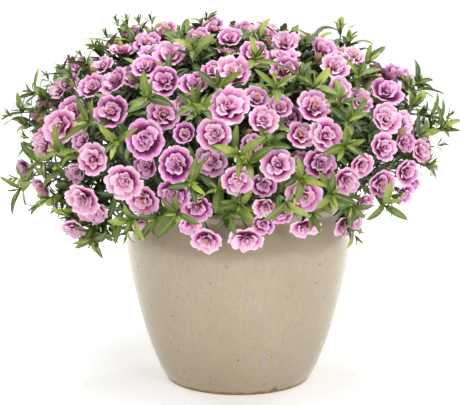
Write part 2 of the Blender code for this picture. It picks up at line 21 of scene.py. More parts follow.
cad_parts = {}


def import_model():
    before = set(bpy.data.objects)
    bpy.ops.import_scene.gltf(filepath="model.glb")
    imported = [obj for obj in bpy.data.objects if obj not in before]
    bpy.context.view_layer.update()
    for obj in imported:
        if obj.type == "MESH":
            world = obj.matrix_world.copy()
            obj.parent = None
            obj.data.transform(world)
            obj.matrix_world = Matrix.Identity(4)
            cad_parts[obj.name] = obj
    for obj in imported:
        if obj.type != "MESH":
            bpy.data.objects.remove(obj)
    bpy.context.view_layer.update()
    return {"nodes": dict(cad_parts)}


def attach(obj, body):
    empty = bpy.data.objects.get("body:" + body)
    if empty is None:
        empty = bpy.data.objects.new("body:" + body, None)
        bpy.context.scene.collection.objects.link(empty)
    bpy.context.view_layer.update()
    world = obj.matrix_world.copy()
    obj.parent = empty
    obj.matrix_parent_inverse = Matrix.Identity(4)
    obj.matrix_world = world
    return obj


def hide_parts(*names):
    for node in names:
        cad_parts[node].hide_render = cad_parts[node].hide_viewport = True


LOG = logging.getLogger("calibrachoa")
MM = 0.001
SEED = 31
TURN = 2 * math.pi
GOLDEN_ANGLE = math.pi * (3.0 - math.sqrt(5.0))
# The range of a random turn or phase, in radians.
ANY_TURN = (0, 6.28)
# The air between a shoot's knot and the spray's knot above it, and round every shape that is placed.
CLEAR = 0.3 * MM
GROW = 0.45 * MM

Shape = tuple[list, list]

# Blooms that show in the front view: across, down and width in pixels of the 460 x 405 frame.
FRONT_BLOOMS = (
    (143, 142, 40), (91, 161, 34), (123, 184, 37), (174, 167, 37), (228, 107, 38), (39, 108, 32),
    (110, 113, 34), (213, 136, 35), (263, 122, 28), (314, 108, 34), (325, 137, 34), (286, 69, 34),
    (277, 167, 31), (246, 243, 34), (205, 243, 31), (305, 231, 32), (349, 226, 30), (303, 199, 36),
    (346, 183, 28), (384, 149, 30), (387, 91, 34), (386, 120, 34), (232, 73, 34), (163, 82, 31),
    (169, 54, 31), (112, 81, 33), (145, 66, 31), (163, 116, 34), (82, 202, 34), (92, 214, 30),
    (172, 196, 35), (196, 210, 32), (142, 203, 31), (210, 164, 29), (236, 184, 32), (59, 127, 36),
    (70, 111, 30), (42, 149, 27), (40, 190, 25), (101, 64, 25), (320, 166, 30), (408, 174, 28),
    (422, 151, 26), (381, 186, 27), (399, 73, 30), (324, 49, 27), (284, 42, 30), (254, 53, 30),
    (211, 25, 26), (229, 37, 27), (163, 29, 28), (147, 43, 28), (131, 32, 24), (193, 84, 26),
    (90, 87, 27), (336, 67, 28), (341, 90, 28), (360, 88, 25), (355, 55, 24), (300, 136, 27),
    (362, 168, 25), (364, 206, 25), (262, 227, 24), (264, 211, 22), (262, 188, 23), (77, 65, 25),
    (197, 36, 25), (256, 99, 25), (279, 108, 25), (362, 101, 26), (405, 123, 26), (421, 137, 24),
    (290, 119, 24), (299, 164, 24), (73, 232, 25), (24, 171, 26), (62, 168, 24), (75, 175, 23),
    (132, 77, 25), (213, 70, 24), (99, 36, 22), (114, 43, 22), (245, 28, 22), (267, 26, 22),
    (343, 52, 22), (57, 88, 22), (68, 82, 22), (404, 196, 23), (413, 187, 20), (405, 143, 22),
    (183, 135, 22), (182, 107, 22), (39, 138, 22), (80, 142, 22), (144, 168, 22), (140, 227, 22),
    (190, 228, 22), (281, 218, 22), (251, 148, 20), (112, 246, 20),
)
# Leafy tips that show in the front view, in the same pixels.
FRONT_TIPS = (
    (103, 48), (198, 49), (258, 40), (304, 45), (338, 41), (289, 95), (313, 88), (338, 104),
    (346, 123), (375, 161), (330, 196), (219, 199), (239, 157), (120, 148), (101, 226), (151, 102),
    (194, 105), (88, 123), (30, 126), (35, 93), (63, 73), (73, 78), (126, 45), (253, 62),
    (299, 76), (366, 72), (411, 89), (408, 101), (430, 115), (442, 138), (258, 148), (343, 150),
    (48, 168), (20, 187), (50, 194), (128, 218), (155, 218), (176, 215), (277, 199), (249, 171),
    (308, 186), (375, 200), (421, 168), (226, 88), (173, 112), (283, 30), (141, 24), (234, 206),
    (92, 238), (60, 152), (205, 120), (245, 132), (308, 214), (158, 150), (190, 186), (350, 206),
    (121, 36), (93, 52), (352, 45), (364, 58), (418, 86), (24, 112), (228, 40), (178, 40), (72, 214),
)
# Leafy tufts that only the dressed plant has, in the same pixels.
FRONT_TUFTS = (
    (108, 40), (118, 28), (128, 27), (140, 27), (152, 26), (96, 52), (84, 62), (72, 222), (88, 232),
    (100, 240), (110, 229), (84, 214), (62, 205), (345, 226), (352, 233), (120, 222), (129, 231),
    (20, 178), (14, 118), (438, 131), (444, 119), (434, 147), (40, 204), (32, 140), (50, 82),
)


def squared(value: float) -> float:
    """A value times itself."""
    return value * value


def srgb(code: str) -> tuple:
    """Turns a hex sRGB colour into linear values.

    Args:
        code: six hex digits after a hash.

    Returns:
        Red, green, blue and an alpha of 1.
    """
    parts = [int(code[i:i + 2], 16) / 255 for i in (1, 3, 5)]
    return tuple(c / 12.92 if c < 0.04045 else ((c + 0.055) / 1.055) ** 2.4 for c in parts) + (1.0,)


@dataclass(frozen=True)
class PotForm:
    """The pot's section, its drain holes and how full it is."""

    # Height above the floor and outer radius in millimetres, from the foot to the lip.
    outside: tuple = (
        (0.0, 71.5), (3.0, 74.0), (18.0, 81.5), (42.0, 90.5), (72.0, 99.5), (104.0, 107.5),
        (134.0, 112.2), (150.0, 112.4), (168.0, 109.0), (178.0, 107.0), (184.0, 111.0), (190.0, 109.5),
    )
    inside_heights: tuple = (30.0, 72.0, 104.0, 134.0, 150.0, 168.0, 178.0)
    wall: float = 9.0 * MM
    floor: float = 12.0 * MM
    drain_holes: int = 3
    drain_radius: float = 6.0 * MM
    drain_circle: float = 38.0 * MM
    soil_top: float = 172.0 * MM
    soil_radius: float = 96 * MM

    @property
    def top(self) -> float:
        """The height of the lip."""
        return self.outside[-1][0] * MM

    def outer_radius(self, height: float) -> float:
        """The outer radius at a height, straight between the section's points.

        Args:
            height: above the floor that the pot stands on.

        Returns:
            The radius.
        """
        for (low, low_radius), (high, high_radius) in zip(self.outside, self.outside[1:]):
            if height <= high * MM:
                share = (height / MM - low) / (high - low)
                return (low_radius + (high_radius - low_radius) * share) * MM
        return self.outside[-1][1] * MM

    def profile(self) -> list:
        """Gives the plain section.

        Returns:
            Radius and height pairs, from the middle of the base round the lip to the middle of the floor.
        """
        heights = [self.floor] + [h * MM for h in self.inside_heights if h * MM < self.top - 4 * MM]
        inside = [(self.outer_radius(h) - self.wall, h) for h in heights + [self.top]]
        outside = [(0.0, 0.0)] + [(r * MM, h * MM) for h, r in self.outside]
        return outside + inside[::-1] + [(0.0, self.floor)]


@dataclass(frozen=True)
class Mound:
    """The ellipsoid that the faces of the blooms lie on, flatter below its middle."""

    middle: Vector = field(default_factory=lambda: Vector((-8.0, 0.0, 240.0)) * MM)
    across: float = 197.0 * MM
    deep: float = 188.0 * MM
    up: float = 112.0 * MM
    down: float = 96.0 * MM

    def value(self, point: Vector) -> float:
        """1 on the mound, less inside it."""
        off = point - self.middle
        tall = self.up if off.z > 0 else self.down
        return squared(off.x / self.across) + squared(off.y / self.deep) + squared(off.z / tall)

    def normal(self, point: Vector) -> Vector:
        """The way out of the mound at a point."""
        off = point - self.middle
        tall = self.up if off.z > 0 else self.down
        return Vector((off.x / squared(self.across), off.y / squared(self.deep), off.z / squared(tall))).normalized()

    def point(self, way: Vector, share: float = 1.0) -> Vector:
        """A point this way from the middle.

        Args:
            way: the direction.
            share: how far out it is, where 1 is the mound's surface.

        Returns:
            The point.
        """
        on_surface = self.middle + way / math.sqrt(self.value(self.middle + way))
        return on_surface if share == 1.0 else self.middle + (on_surface - self.middle) * share


POT = PotForm()
MOUND = Mound()


@dataclass(frozen=True)
class FrontView:
    """The eye of the front view: one of its pixels is about 1 mm at the pot's axis."""

    eye: Vector = field(default_factory=lambda: Vector((0.0, -1700.0, 540.0)) * MM)
    aim: Vector = field(default_factory=lambda: Vector((0.0, 0.0, 170.0)) * MM)
    axis_pixel: tuple = (238.3, 210.3)
    step: float = 1.5 * MM
    steps: int = 300
    # The walk along a sight line starts this much nearer than the mound's middle.
    ahead: float = 225.0 * MM
    # How far outside the mound a bloom or tip may be, as a value of the ellipsoid.
    outer_reach: float = 1.38
    # Below the rim, blooms and tips hang at least this far out from the pot's axis.
    rim_clear: float = 212.0 * MM
    hang_circle: float = 136.0 * MM

    def line(self, across: float, down: float) -> Vector:
        """Aims through a pixel.

        Args:
            across: the pixel's column.
            down: its row.

        Returns:
            The direction from the eye.
        """
        forward = (self.aim - self.eye).normalized()
        right = Vector((1.0, 0.0, 0.0))
        up = right.cross(forward)
        scale = (self.aim - self.eye).length / MM
        slope_x = (across - self.axis_pixel[0]) / scale
        slope_y = (self.axis_pixel[1] - down) / scale
        return (forward + right * slope_x + up * slope_y).normalized()

    def seen(self, across: float, down: float) -> tuple[Vector, Vector]:
        """Finds where the mound is first met behind a pixel, or the nearest pass where it is missed.

        Args:
            across: the pixel's column.
            down: its row.

        Returns:
            The point, and the direction of sight.
        """
        line = self.line(across, down)
        reach = (MOUND.middle - self.eye).length
        best, best_value = None, 9.0
        for i in range(self.steps):
            point = self.eye + line * (reach - self.ahead + i * self.step)
            value = MOUND.value(point)
            if value < best_value:
                best, best_value = point, value
            if value <= 1.0:
                break
        if best_value > self.outer_reach:
            best = MOUND.middle + (best - MOUND.middle) * math.sqrt(self.outer_reach / best_value)
        while best.z < self.rim_clear and math.hypot(best.x, best.y) < self.hang_circle:
            best = best - line * self.step
        return best, line


VIEW = FrontView()


def frame_of(axis: Vector, roll: float) -> Matrix:
    """A rotation whose Z is this axis, turned about it by roll."""
    return axis.to_track_quat("Z", "Y").to_matrix() @ Matrix.Rotation(roll, 3, "Z")


def ring(count: int, radius: float, height: float, start: float = 0.0) -> list:
    """Points evenly round Z."""
    turns = [start + TURN * i / count for i in range(count)]
    return [Vector((radius * math.cos(a), radius * math.sin(a), height)) for a in turns]


def bend(start: Vector, pull: Vector, end: Vector, count: int) -> list:
    """Points of a quadratic curve.

    Args:
        start: its first point.
        pull: the point that it leans to.
        end: its last point.
        count: how many points.

    Returns:
        The points.
    """
    shares = [i / (count - 1) for i in range(count)]
    return [start * squared(1 - t) + pull * 2 * t * (1 - t) + end * squared(t) for t in shares]


def even_way(i: int, count: int, start: float = 0.0) -> Vector:
    """Spreads directions evenly over a sphere, by the golden angle.

    Args:
        i: which of them.
        count: how many there are.
        start: the turn of the first one.

    Returns:
        The i-th direction.
    """
    up = 1.0 - (2 * i + 1) / count
    angle = i * GOLDEN_ANGLE + start
    flat = math.sqrt(1.0 - squared(up))
    return Vector((flat * math.cos(angle), flat * math.sin(angle), up))


def tube_shape(route: list, radii: list, sides: int) -> Shape:
    """Builds a closed tube along a route.

    Args:
        route: the points that it runs through.
        radii: its radius at each of them.
        sides: how many sides it has.

    Returns:
        Its corners and its triangles.
    """
    points, faces = [], []
    for i, point in enumerate(route):
        ahead = route[min(i + 1, len(route) - 1)] - route[max(i - 1, 0)]
        turn = frame_of(ahead.normalized(), 0.0)
        points += [point + turn @ corner * radii[i] for corner in ring(sides, 1.0, 0.0)]
    for i in range(len(route) - 1):
        for k in range(sides):
            a, b = i * sides + k, i * sides + (k + 1) % sides
            faces += [(a, b, b + sides), (a, b + sides, a + sides)]
    last = (len(route) - 1) * sides
    for k in range(1, sides - 1):
        faces += [(0, k + 1, k), (last, last + k, last + k + 1)]
    return points, faces


def turned_shape(profile: list, segments: int) -> Shape:
    """Builds a closed solid that is turned about Z.

    Args:
        profile: pairs of radius and height that start and end on the axis.
        segments: how many segments there are round it.

    Returns:
        Its corners and its faces.
    """
    rings = profile[1:-1]
    points = [Vector((0.0, 0.0, profile[0][1]))]
    for radius, height in rings:
        points += ring(segments, radius, height)
    points.append(Vector((0.0, 0.0, profile[-1][1])))
    top, last = len(points) - 1, 1 + (len(rings) - 1) * segments
    faces = []
    for k in range(segments):
        following = (k + 1) % segments
        faces.append((0, 1 + following, 1 + k))
        for a in range(1, last, segments):
            b = a + segments
            faces.append((a + k, a + following, b + following, b + k))
        faces.append((last + k, last + following, top))
    return points, faces


class Piece:
    """One small closed shape, ready for overlap tests, and the solid that it belongs to."""

    def __init__(self, shape: Shape, owner: Optional[object]) -> None:
        """Measures the shape.

        Args:
            shape: its corners and its faces.
            owner: the solid that it belongs to.
        """
        points, faces = shape
        self.owner = owner
        self.middle = sum(points, Vector()) / len(points)
        self.reach = max((p - self.middle).length for p in points)
        self.tree = BVHTree.FromPolygons(points, faces)

    def crosses(self, others: Iterable["Piece"], skip: tuple = ()) -> bool:
        """Tells whether its surface crosses that of another piece.

        Args:
            others: the pieces to test.
            skip: pieces that don't count.

        Returns:
            True where it crosses one.
        """
        for other in others:
            if other in skip or (other.middle - self.middle).length > other.reach + self.reach:
                continue
            if self.tree.overlap(other.tree):
                return True
        return False


@dataclass(eq=False)
class Shoot:
    """A stem from its hole in the soil to the knot that its branches and stalks leave from."""

    number: int
    hole: Vector
    knot: Vector
    outward: Vector
    stem_radius: float = 1.9 * MM
    knot_radius: float = 4.6 * MM
    knot_height: float = 5.0 * MM
    soil_sink: float = 18.0 * MM
    blooms: int = 0

    @property
    def top_of_hole(self) -> Vector:
        """Where the stem leaves the soil."""
        return self.hole + Vector((0.0, 0.0, self.soil_sink + 4 * MM))

    def across(self, point: Vector) -> Vector:
        """The way to a point, square to the knot's axis."""
        away = point - self.knot
        return (away - self.outward * away.dot(self.outward)).normalized()


@dataclass(eq=False)
class Bloom:
    """Where a double bloom sits, the way it faces and its radius."""

    at: Vector
    axis: Vector
    roll: float
    radius: float
    layered: bool
    stalk_radius: float = 1.2 * MM
    tube_length: float = 15.0 * MM
    notch: float = 0.94
    # Half the step between a lobe and the notch beside it.
    step: float = 0.9 * MM
    # The groove round the throat and the top of the rosette: radius as a share of the bloom's, and height.
    groove: tuple = (0.54, -3.4 * MM)
    cup: tuple = (0.45, 2.6 * MM)
    point: float = 3.4 * MM
    shoot: Optional[Shoot] = None
    piece: Optional[Piece] = None
    via: Optional[Vector] = None

    @property
    def tail(self) -> Vector:
        """Where the tube ends and the stalk starts."""
        return self.at - self.axis * self.tube_length

    def shape(self, grow: float = 0.0) -> Shape:
        """Builds the plain bloom: five notched lobes round a groove, and the rosette inside it.

        The rosette is a raised five-sided cup where the bloom is layered, and a raised point elsewhere.

        Args:
            grow: how much larger it is than the real one, to test for room.

        Returns:
            Its corners and its faces.
        """
        rim = self.radius + grow
        points = ring(3, self.stalk_radius, -self.tube_length, math.pi / 5)
        for i in range(10):
            angle = i * math.pi / 5
            out, height = (rim * self.notch, self.step) if i % 2 else (rim, -self.step)
            points.append(Vector((out * math.cos(angle), out * math.sin(angle), height)))
        points += ring(5, self.groove[0] * rim, self.groove[1] + grow, math.pi / 5)
        rim_at, groove_at, top_at = 3, 13, 18
        faces = [(0, 2, 1)]
        for k, (first, last) in enumerate(((0, 3), (3, 7), (7, 10))):
            faces += [(k, rim_at + (i + 1) % 10, rim_at + i) for i in range(first, last)]
            faces.append((k, (k + 1) % 3, rim_at + last % 10))
        if self.layered:
            points += ring(5, self.cup[0] * rim, self.cup[1] + grow, math.pi / 5)
            faces += [(top_at, top_at + k, top_at + k + 1) for k in range(1, 4)]
        else:
            points.append(Vector((0.0, 0.0, self.point + grow)))
        for i in range(5):
            lobe, notch, next_lobe = rim_at + 2 * i, rim_at + 2 * i + 1, rim_at + (2 * i + 2) % 10
            this, following = groove_at + i, groove_at + (i + 1) % 5
            faces += [(lobe, notch, this), (notch, next_lobe, this), (this, next_lobe, following)]
            if self.layered:
                top, top_next = top_at + i, top_at + (i + 1) % 5
                faces += [(this, following, top), (following, top_next, top)]
            else:
                faces.append((this, following, top_at))
        turn = frame_of(self.axis, self.roll)
        return [self.at + turn @ p for p in points], faces

    def stalked(self, stops: list) -> Shape:
        """Builds the bloom with its stalk: the three corners of its tail, drawn on through the stops.

        Args:
            stops: the points that the stalk runs through.

        Returns:
            Its corners and its faces.
        """
        points, faces = self.shape()
        del faces[0]
        tail = points[:3]
        middle = (tail[0] + tail[1] + tail[2]) / 3
        route = [middle] + stops
        near = (0, 1, 2)
        for i in range(1, len(route)):
            ahead = route[min(i + 1, len(route) - 1)] - route[i - 1]
            turn = self.axis.rotation_difference(-ahead.normalized())
            far = tuple(range(len(points), len(points) + 3))
            points += [route[i] + turn @ (corner - middle) for corner in tail]
            for k in range(3):
                m = (k + 1) % 3
                faces += [(near[k], far[k], near[m]), (far[k], far[m], near[m])]
            near = far
        faces.append((near[0], near[2], near[1]))
        return points, faces


@dataclass
class Leaf:
    """One blade of a tip: its size, how far it rises and how far it is swung aside."""

    length: float
    width: float
    rise: float
    swing: float
    thick: float = 1.0 * MM


@dataclass(eq=False)
class Tip:
    """The end of a branch: three-sided, with a leaf from each side and a last one on top."""

    route: list
    axis: Vector
    roll: float
    radius: float = 1.2 * MM
    # The height of the band that the leaves grow from, and the widest place and point of the last leaf.
    band: float = 2.4 * MM
    last_wide: float = 5 * MM
    last_point: float = 13 * MM
    leaves: dict = field(default_factory=dict)
    shoot: Optional[Shoot] = None

    def __post_init__(self) -> None:
        """Works out its rotation."""
        self.turn = frame_of(self.axis, self.roll)

    def placed(self, points: list) -> list:
        """Local points, moved to the branch's end."""
        return [self.route[-1] + self.turn @ p for p in points]

    def way_out(self, side: int, leaf: Leaf) -> Vector:
        """The local direction, square to the branch, that a leaf grows to."""
        angle = TURN * (side + 0.5) / 3 + leaf.swing
        return Vector((math.cos(angle), math.sin(angle), 0.0))

    def blade(self, side: int, leaf: Leaf, grow: float = 0.0) -> list:
        """Places a blade's corners.

        Args:
            side: which of the three sides it grows from.
            leaf: its size and angles.
            grow: how much larger it is than the real one.

        Returns:
            The left, under, right and upper corners of its widest section, and its point.
        """
        out = self.way_out(side, leaf)
        along = out * math.cos(leaf.rise) + Vector((0.0, 0.0, math.sin(leaf.rise)))
        top = Vector((0.0, 0.0, math.cos(leaf.rise))) - out * math.sin(leaf.rise)
        wide = top.cross(along) * (leaf.width / 2 + grow)
        thick = top * (leaf.thick / 2 + grow)
        base = out * self.radius * 0.5
        middle = base + along * leaf.length * 0.5 + top * leaf.length * 0.05
        edge = top * leaf.width * 0.16
        section = [middle - wide + edge, middle - thick, middle + wide + edge, middle + thick]
        return section + [base + along * leaf.length]

    def leaf_hull(self, side: int, leaf: Leaf) -> Shape:
        """Builds the blade alone, a little larger, to test for room.

        Args:
            side: which of the three sides it grows from.
            leaf: its size and angles.

        Returns:
            Its corners and its faces.
        """
        root = self.blade(side, Leaf(leaf.length * 0.2, leaf.width, leaf.rise, leaf.swing))[4]
        points = self.placed([root] + self.blade(side, leaf, GROW))
        faces = [(0, 1 + i, 1 + (i + 1) % 4) for i in range(4)]
        return points, faces + [(5, 1 + (i + 1) % 4, 1 + i) for i in range(4)]

    def shape(self, grow: float = 0.0) -> Shape:
        """Builds the branch, its blades and its last leaf as one closed mesh.

        Args:
            grow: how much larger it is than the real one, to test for room.

        Returns:
            Its corners and its faces.
        """
        points = []
        radius = self.radius + grow
        for i, stop in enumerate(self.route[:-1]):
            ahead = (self.route[i + 1] - self.route[max(i - 1, 0)]).normalized()
            lean = self.axis.rotation_difference(ahead)
            points += [stop + lean @ (self.turn @ p) for p in ring(3, radius, 0.0)]
        band_at = len(self.route) - 1
        faces = [(0, 2, 1)]
        for height in (-self.band / 2, self.band / 2):
            points += self.placed(ring(3, radius, height))
        for i in range(band_at + 1):
            for k in range(3):
                low, low_next = 3 * i + k, 3 * i + (k + 1) % 3
                base = (low, low_next, low_next + 3, low + 3)
                leaf = self.leaves.get(k) if i == band_at else None
                if leaf is None:
                    faces += [(base[0], base[1], base[3]), (base[1], base[2], base[3])]
                    continue
                at = len(points)
                points += self.placed(self.blade(k, leaf, grow))
                for j in range(4):
                    n = (j + 1) % 4
                    faces += [(base[j], base[n], at + n), (base[j], at + n, at + j)]
                    faces.append((at + j, at + n, at + 4))
        last, at = 3 * (band_at + 1), len(points)
        points += self.placed(ring(3, radius * 1.9, self.last_wide))
        points += self.placed([Vector((0.0, 0.0, self.last_point + grow))])
        for k in range(3):
            n = (k + 1) % 3
            faces += [(last + k, last + n, at + n), (last + k, at + n, at + k), (at + k, at + n, at + 3)]
        return points, faces


@dataclass
class Plant:
    """The whole layout. Everything is drawn in a fixed order from one seeded source."""

    shoot_count: int = 29
    shoot_reach: float = 0.68
    widest: float = math.radians(104.0)
    hole_circle: float = 74.0 * MM
    most_blooms: int = 9
    # Blooms and tips that the front view doesn't show: how many are tried, and their sizes in millimetres.
    spread_blooms: int = 232
    spread_tips: int = 100
    lowest_normal: float = -0.62
    bloom_widths: tuple = (25.0, 36.0)
    leaf_lengths: tuple = (20.0, 31.0)
    leaf_aspect: tuple = (0.27, 0.36)
    push: float = 3.0 * MM
    pushes: int = 11
    # A bloom of the front view faces between the mound's normal and the eye, by these shares.
    face_mound: float = 0.62
    face_eye: float = 0.38
    # How much the axes of front blooms, of other blooms and of tips are shaken.
    front_shake: float = 0.10
    spread_shake: float = 0.16
    tip_shake: float = 0.2
    # Spread blooms and tips that face the eye more squarely than this are left to the front lists.
    bloom_facing: float = 0.42
    tip_facing: float = 0.3
    # How often a stalk or a branch is tried before it goes to the next knot, and how many knots.
    stalk_tries: int = 8
    branch_tries: int = 7
    knots_tried: int = 4
    # Blooms of the front view below this height are pushed towards the eye, and others away from it.
    hang_below: float = 178.0 * MM
    tip_sink: float = 3.0 * MM

    def __post_init__(self) -> None:
        """Starts with the pot and the soil, which the plant stays clear of."""
        self.draw = random.Random(SEED)
        self.pieces, self.shoots, self.blooms, self.tips = [], [], [], []
        self.add(turned_shape(POT.profile(), 24), "pot")
        low, high = POT.soil_top - 9 * MM, POT.soil_top + 3 * MM
        lid = [(0.0, low), (POT.soil_radius, low), (POT.soil_radius, high), (0.0, high)]
        self.add(turned_shape(lid, 24), "soil")

    def add(self, shape: Shape, owner: Optional[object]) -> Piece:
        """Keeps a shape and gives its piece."""
        piece = Piece(shape, owner)
        self.pieces.append(piece)
        return piece

    def clear(self, shape: Shape, owner: Optional[object] = None, skip: tuple = ()) -> bool:
        """Tests a shape for room.

        Args:
            shape: the shape.
            owner: the solid that it belongs to, whose pieces don't count.
            skip: more pieces that don't count.

        Returns:
            True where it crosses no other piece.
        """
        others = [p for p in self.pieces if owner is None or p.owner != owner]
        return not Piece(shape, owner).crosses(others, skip)

    def jitter(self, size: float) -> Vector:
        """A random vector of this spread."""
        return Vector([self.draw.gauss(0.0, size) for _ in range(3)])

    def nearest(self, point: Vector) -> Shoot:
        """The shoot whose knot is nearest to a point."""
        return min(self.shoots, key=lambda s: (s.knot - point).length)

    def grow(self) -> None:
        """Places everything, the front of the plant first."""
        self.make_shoots()
        self.front_blooms()
        self.make_stalks()
        self.front_tips()
        self.place_spread_blooms()
        self.make_stalks()
        self.place_spread_tips()

    def make_shoots(self) -> None:
        """Places the stems and knots, spread evenly under the mound."""
        for i in range(self.shoot_count):
            polar = self.widest * math.sqrt((i + 0.5) / self.shoot_count)
            angle = i * GOLDEN_ANGLE
            flat = Vector((math.cos(angle), math.sin(angle), 0.0))
            knot = MOUND.point(flat * math.sin(polar) + Vector((0.0, 0.0, math.cos(polar))), self.shoot_reach)
            knot.z = max(knot.z, VIEW.rim_clear)
            hole = flat * self.hole_circle * (polar / self.widest)
            outward = (knot - Vector((knot.x * 0.6, knot.y * 0.6, POT.soil_top))).normalized()
            shoot = Shoot(i + 1, hole, knot, outward)
            hole.z = POT.soil_top - shoot.soil_sink
            foot = knot - outward * shoot.knot_height
            route = [hole, shoot.top_of_hole, foot - outward * 8 * MM, knot]
            radii = [shoot.stem_radius, shoot.stem_radius, shoot.stem_radius * 1.1, shoot.knot_radius]
            self.add(tube_shape(route, radii, 4), ("green", i + 1))
            low = knot + outward * CLEAR
            high = low + outward * shoot.knot_height
            self.add(tube_shape([low, high], [shoot.knot_radius] * 2, 4), ("pink", i + 1))
            self.shoots.append(shoot)

    def settle(self, bloom: Bloom, way: Vector) -> None:
        """Pushes a bloom along until it is clear of the others, and keeps it where there is room.

        Args:
            bloom: the bloom.
            way: the direction that it is pushed in.
        """
        for _ in range(self.pushes):
            if self.clear(bloom.shape(GROW)):
                bloom.piece = self.add(bloom.shape(), None)
                self.blooms.append(bloom)
                return
            bloom.at = bloom.at + way * self.push

    def front_blooms(self) -> None:
        """Places the blooms of the front view, facing between the mound's normal and the eye."""
        for across, down, width in FRONT_BLOOMS:
            at, line = VIEW.seen(across, down)
            axis = MOUND.normal(at) * self.face_mound - line * self.face_eye + self.jitter(self.front_shake)
            bloom = Bloom(at, axis.normalized(), self.draw.uniform(0, TURN), width / 2 * MM, width >= 30)
            self.settle(bloom, line if at.z > self.hang_below else -line)

    def left_out(self, at: Vector, normal: Vector, most: float) -> bool:
        """Tells whether a spread place stays free.

        Args:
            at: the place.
            normal: the way out of the mound there.
            most: how squarely it may face the eye.

        Returns:
            True where it is too low on the mound, or in the front view.
        """
        return normal.z < self.lowest_normal or normal.dot((VIEW.eye - at).normalized()) > most

    def place_spread_blooms(self) -> None:
        """Places the blooms that the front view doesn't show."""
        for i in range(self.spread_blooms):
            at = MOUND.point(self.shaken_way(i, self.spread_blooms))
            normal = MOUND.normal(at)
            width = self.draw.uniform(*self.bloom_widths)
            axis = (normal + self.jitter(self.spread_shake)).normalized()
            roll = self.draw.uniform(0, TURN)
            if not self.left_out(at, normal, self.bloom_facing):
                self.settle(Bloom(at, axis, roll, width / 2 * MM, False), -normal)

    def shaken_way(self, i: int, count: int) -> Vector:
        """The i-th of directions spread evenly over a sphere, a little shaken."""
        return (even_way(i, count) + self.jitter(0.025)).normalized()

    def make_stalks(self) -> None:
        """Joins each new bloom to one of the nearest knots, and drops those with no free way."""
        for bloom in [b for b in self.blooms if b.shoot is None]:
            near = sorted(self.shoots, key=lambda s: (s.knot + s.outward * 14 * MM - bloom.tail).length)
            near = [s for s in near if s.blooms < self.most_blooms]
            any(self.join_stalk(bloom, shoot) for shoot in near[:self.knots_tried])
        for bloom in [b for b in self.blooms if b.shoot is None]:
            self.blooms.remove(bloom)
            self.pieces.remove(bloom.piece)

    def join_stalk(self, bloom: Bloom, shoot: Shoot) -> bool:
        """Runs a stalk from a knot to a bloom, straight or bent aside.

        Args:
            bloom: the bloom.
            shoot: whose knot the stalk leaves from.

        Returns:
            True if a free way was found.
        """
        owner = ("pink", shoot.number)
        start = shoot.knot + shoot.outward * (CLEAR + shoot.knot_height * 0.5)
        start = start + shoot.across(bloom.tail) * shoot.knot_radius * 0.45
        span = (bloom.tail - start).length
        for i in range(self.stalk_tries):
            via = None
            if i:
                via = (start + bloom.tail) / 2 - bloom.axis * span * 0.16 + self.jitter(1.0) * i * 2.0 * MM
            stops = [start] if via is None else [via, start]
            route = stops[::-1] + [bloom.tail]
            if self.clear(tube_shape(route, [bloom.stalk_radius + GROW] * len(route), 6), owner, (bloom.piece,)):
                self.pieces.remove(bloom.piece)
                bloom.piece = self.add(bloom.stalked(stops), owner)
                bloom.shoot, bloom.via = shoot, via
                shoot.blooms += 1
                return True
        return False

    def front_tips(self) -> None:
        """Places the leafy tips of the front view."""
        for across, down in FRONT_TIPS:
            at, line = VIEW.seen(across, down)
            normal = MOUND.normal(at)
            at = at - Vector((0.0, 0.0, self.tip_sink * 0.6 * max(normal.z, 0.0)))
            self.make_tip(at - line * 3.0 * MM, (normal * 0.7 - line * 0.3).normalized())

    def place_spread_tips(self) -> None:
        """Places the leafy tips that the front view doesn't show."""
        for i in range(self.spread_tips):
            at = MOUND.point(self.shaken_way(i, self.spread_tips))
            normal = MOUND.normal(at)
            at = at - normal * self.tip_sink * max(normal.z, 0.0)
            if not self.left_out(at, normal, self.tip_facing):
                self.make_tip(at, normal)

    def make_tip(self, at: Vector, outward: Vector) -> None:
        """Places a leafy tip, on a branch from the nearest knot that it can be reached from.

        Args:
            at: where the branch ends.
            outward: the way out of the mound there.
        """
        axis = (outward + self.jitter(self.tip_shake) + Vector((0.0, 0.0, 0.25))).normalized()
        roll = self.draw.uniform(0, TURN)
        near = sorted(self.shoots, key=lambda s: (s.knot - at).length)
        for shoot in near[:self.knots_tried]:
            owner = ("green", shoot.number)
            start = shoot.knot - shoot.outward * shoot.knot_height * 0.4
            start = start + shoot.across(at) * shoot.knot_radius * 0.35
            for i in range(self.branch_tries):
                end = at + self.jitter(1.0) * i * 1.1 * MM
                via = (start + end) / 2 - axis * (end - start).length * 0.12 + self.jitter(1.0) * i * 1.2 * MM
                route = [start, via, end] if i > 1 else [start, end]
                tip = Tip(route, axis, roll, shoot=shoot)
                if not self.clear(tube_shape(route, [tip.radius + GROW] * len(route), 6), owner):
                    continue
                if self.clear(tip.shape(GROW), owner):
                    self.grow_leaves(tip, owner)
                    self.add(tip.shape(), owner)
                    self.tips.append(tip)
                    return

    def grow_leaves(self, tip: Tip, owner: tuple) -> None:
        """Gives a tip its three leaves, each one turned and shortened until it is clear.

        Args:
            tip: the tip.
            owner: the solid that it belongs to.
        """
        for side in range(3):
            length = self.draw.uniform(*self.leaf_lengths) * MM
            width = length * self.draw.uniform(*self.leaf_aspect)
            rise = math.radians(self.draw.uniform(14, 34))
            for i in range(8):
                leaf = Leaf(length * (1 - 0.05 * i), width, rise + 0.1 * i, (0, 0.3, -0.3, 0.5)[i % 4])
                tip.leaves[side] = leaf
                if self.clear(tip.leaf_hull(side, leaf)) and self.clear(tip.shape(GROW), owner):
                    break
                del tip.leaves[side]


class Part(Enum):
    """The surfaces that a piece of the plant can have, in the order of its material slots."""

    PETAL = 0
    GREEN = 1
    ANTHER = 2
    SPENT = 3


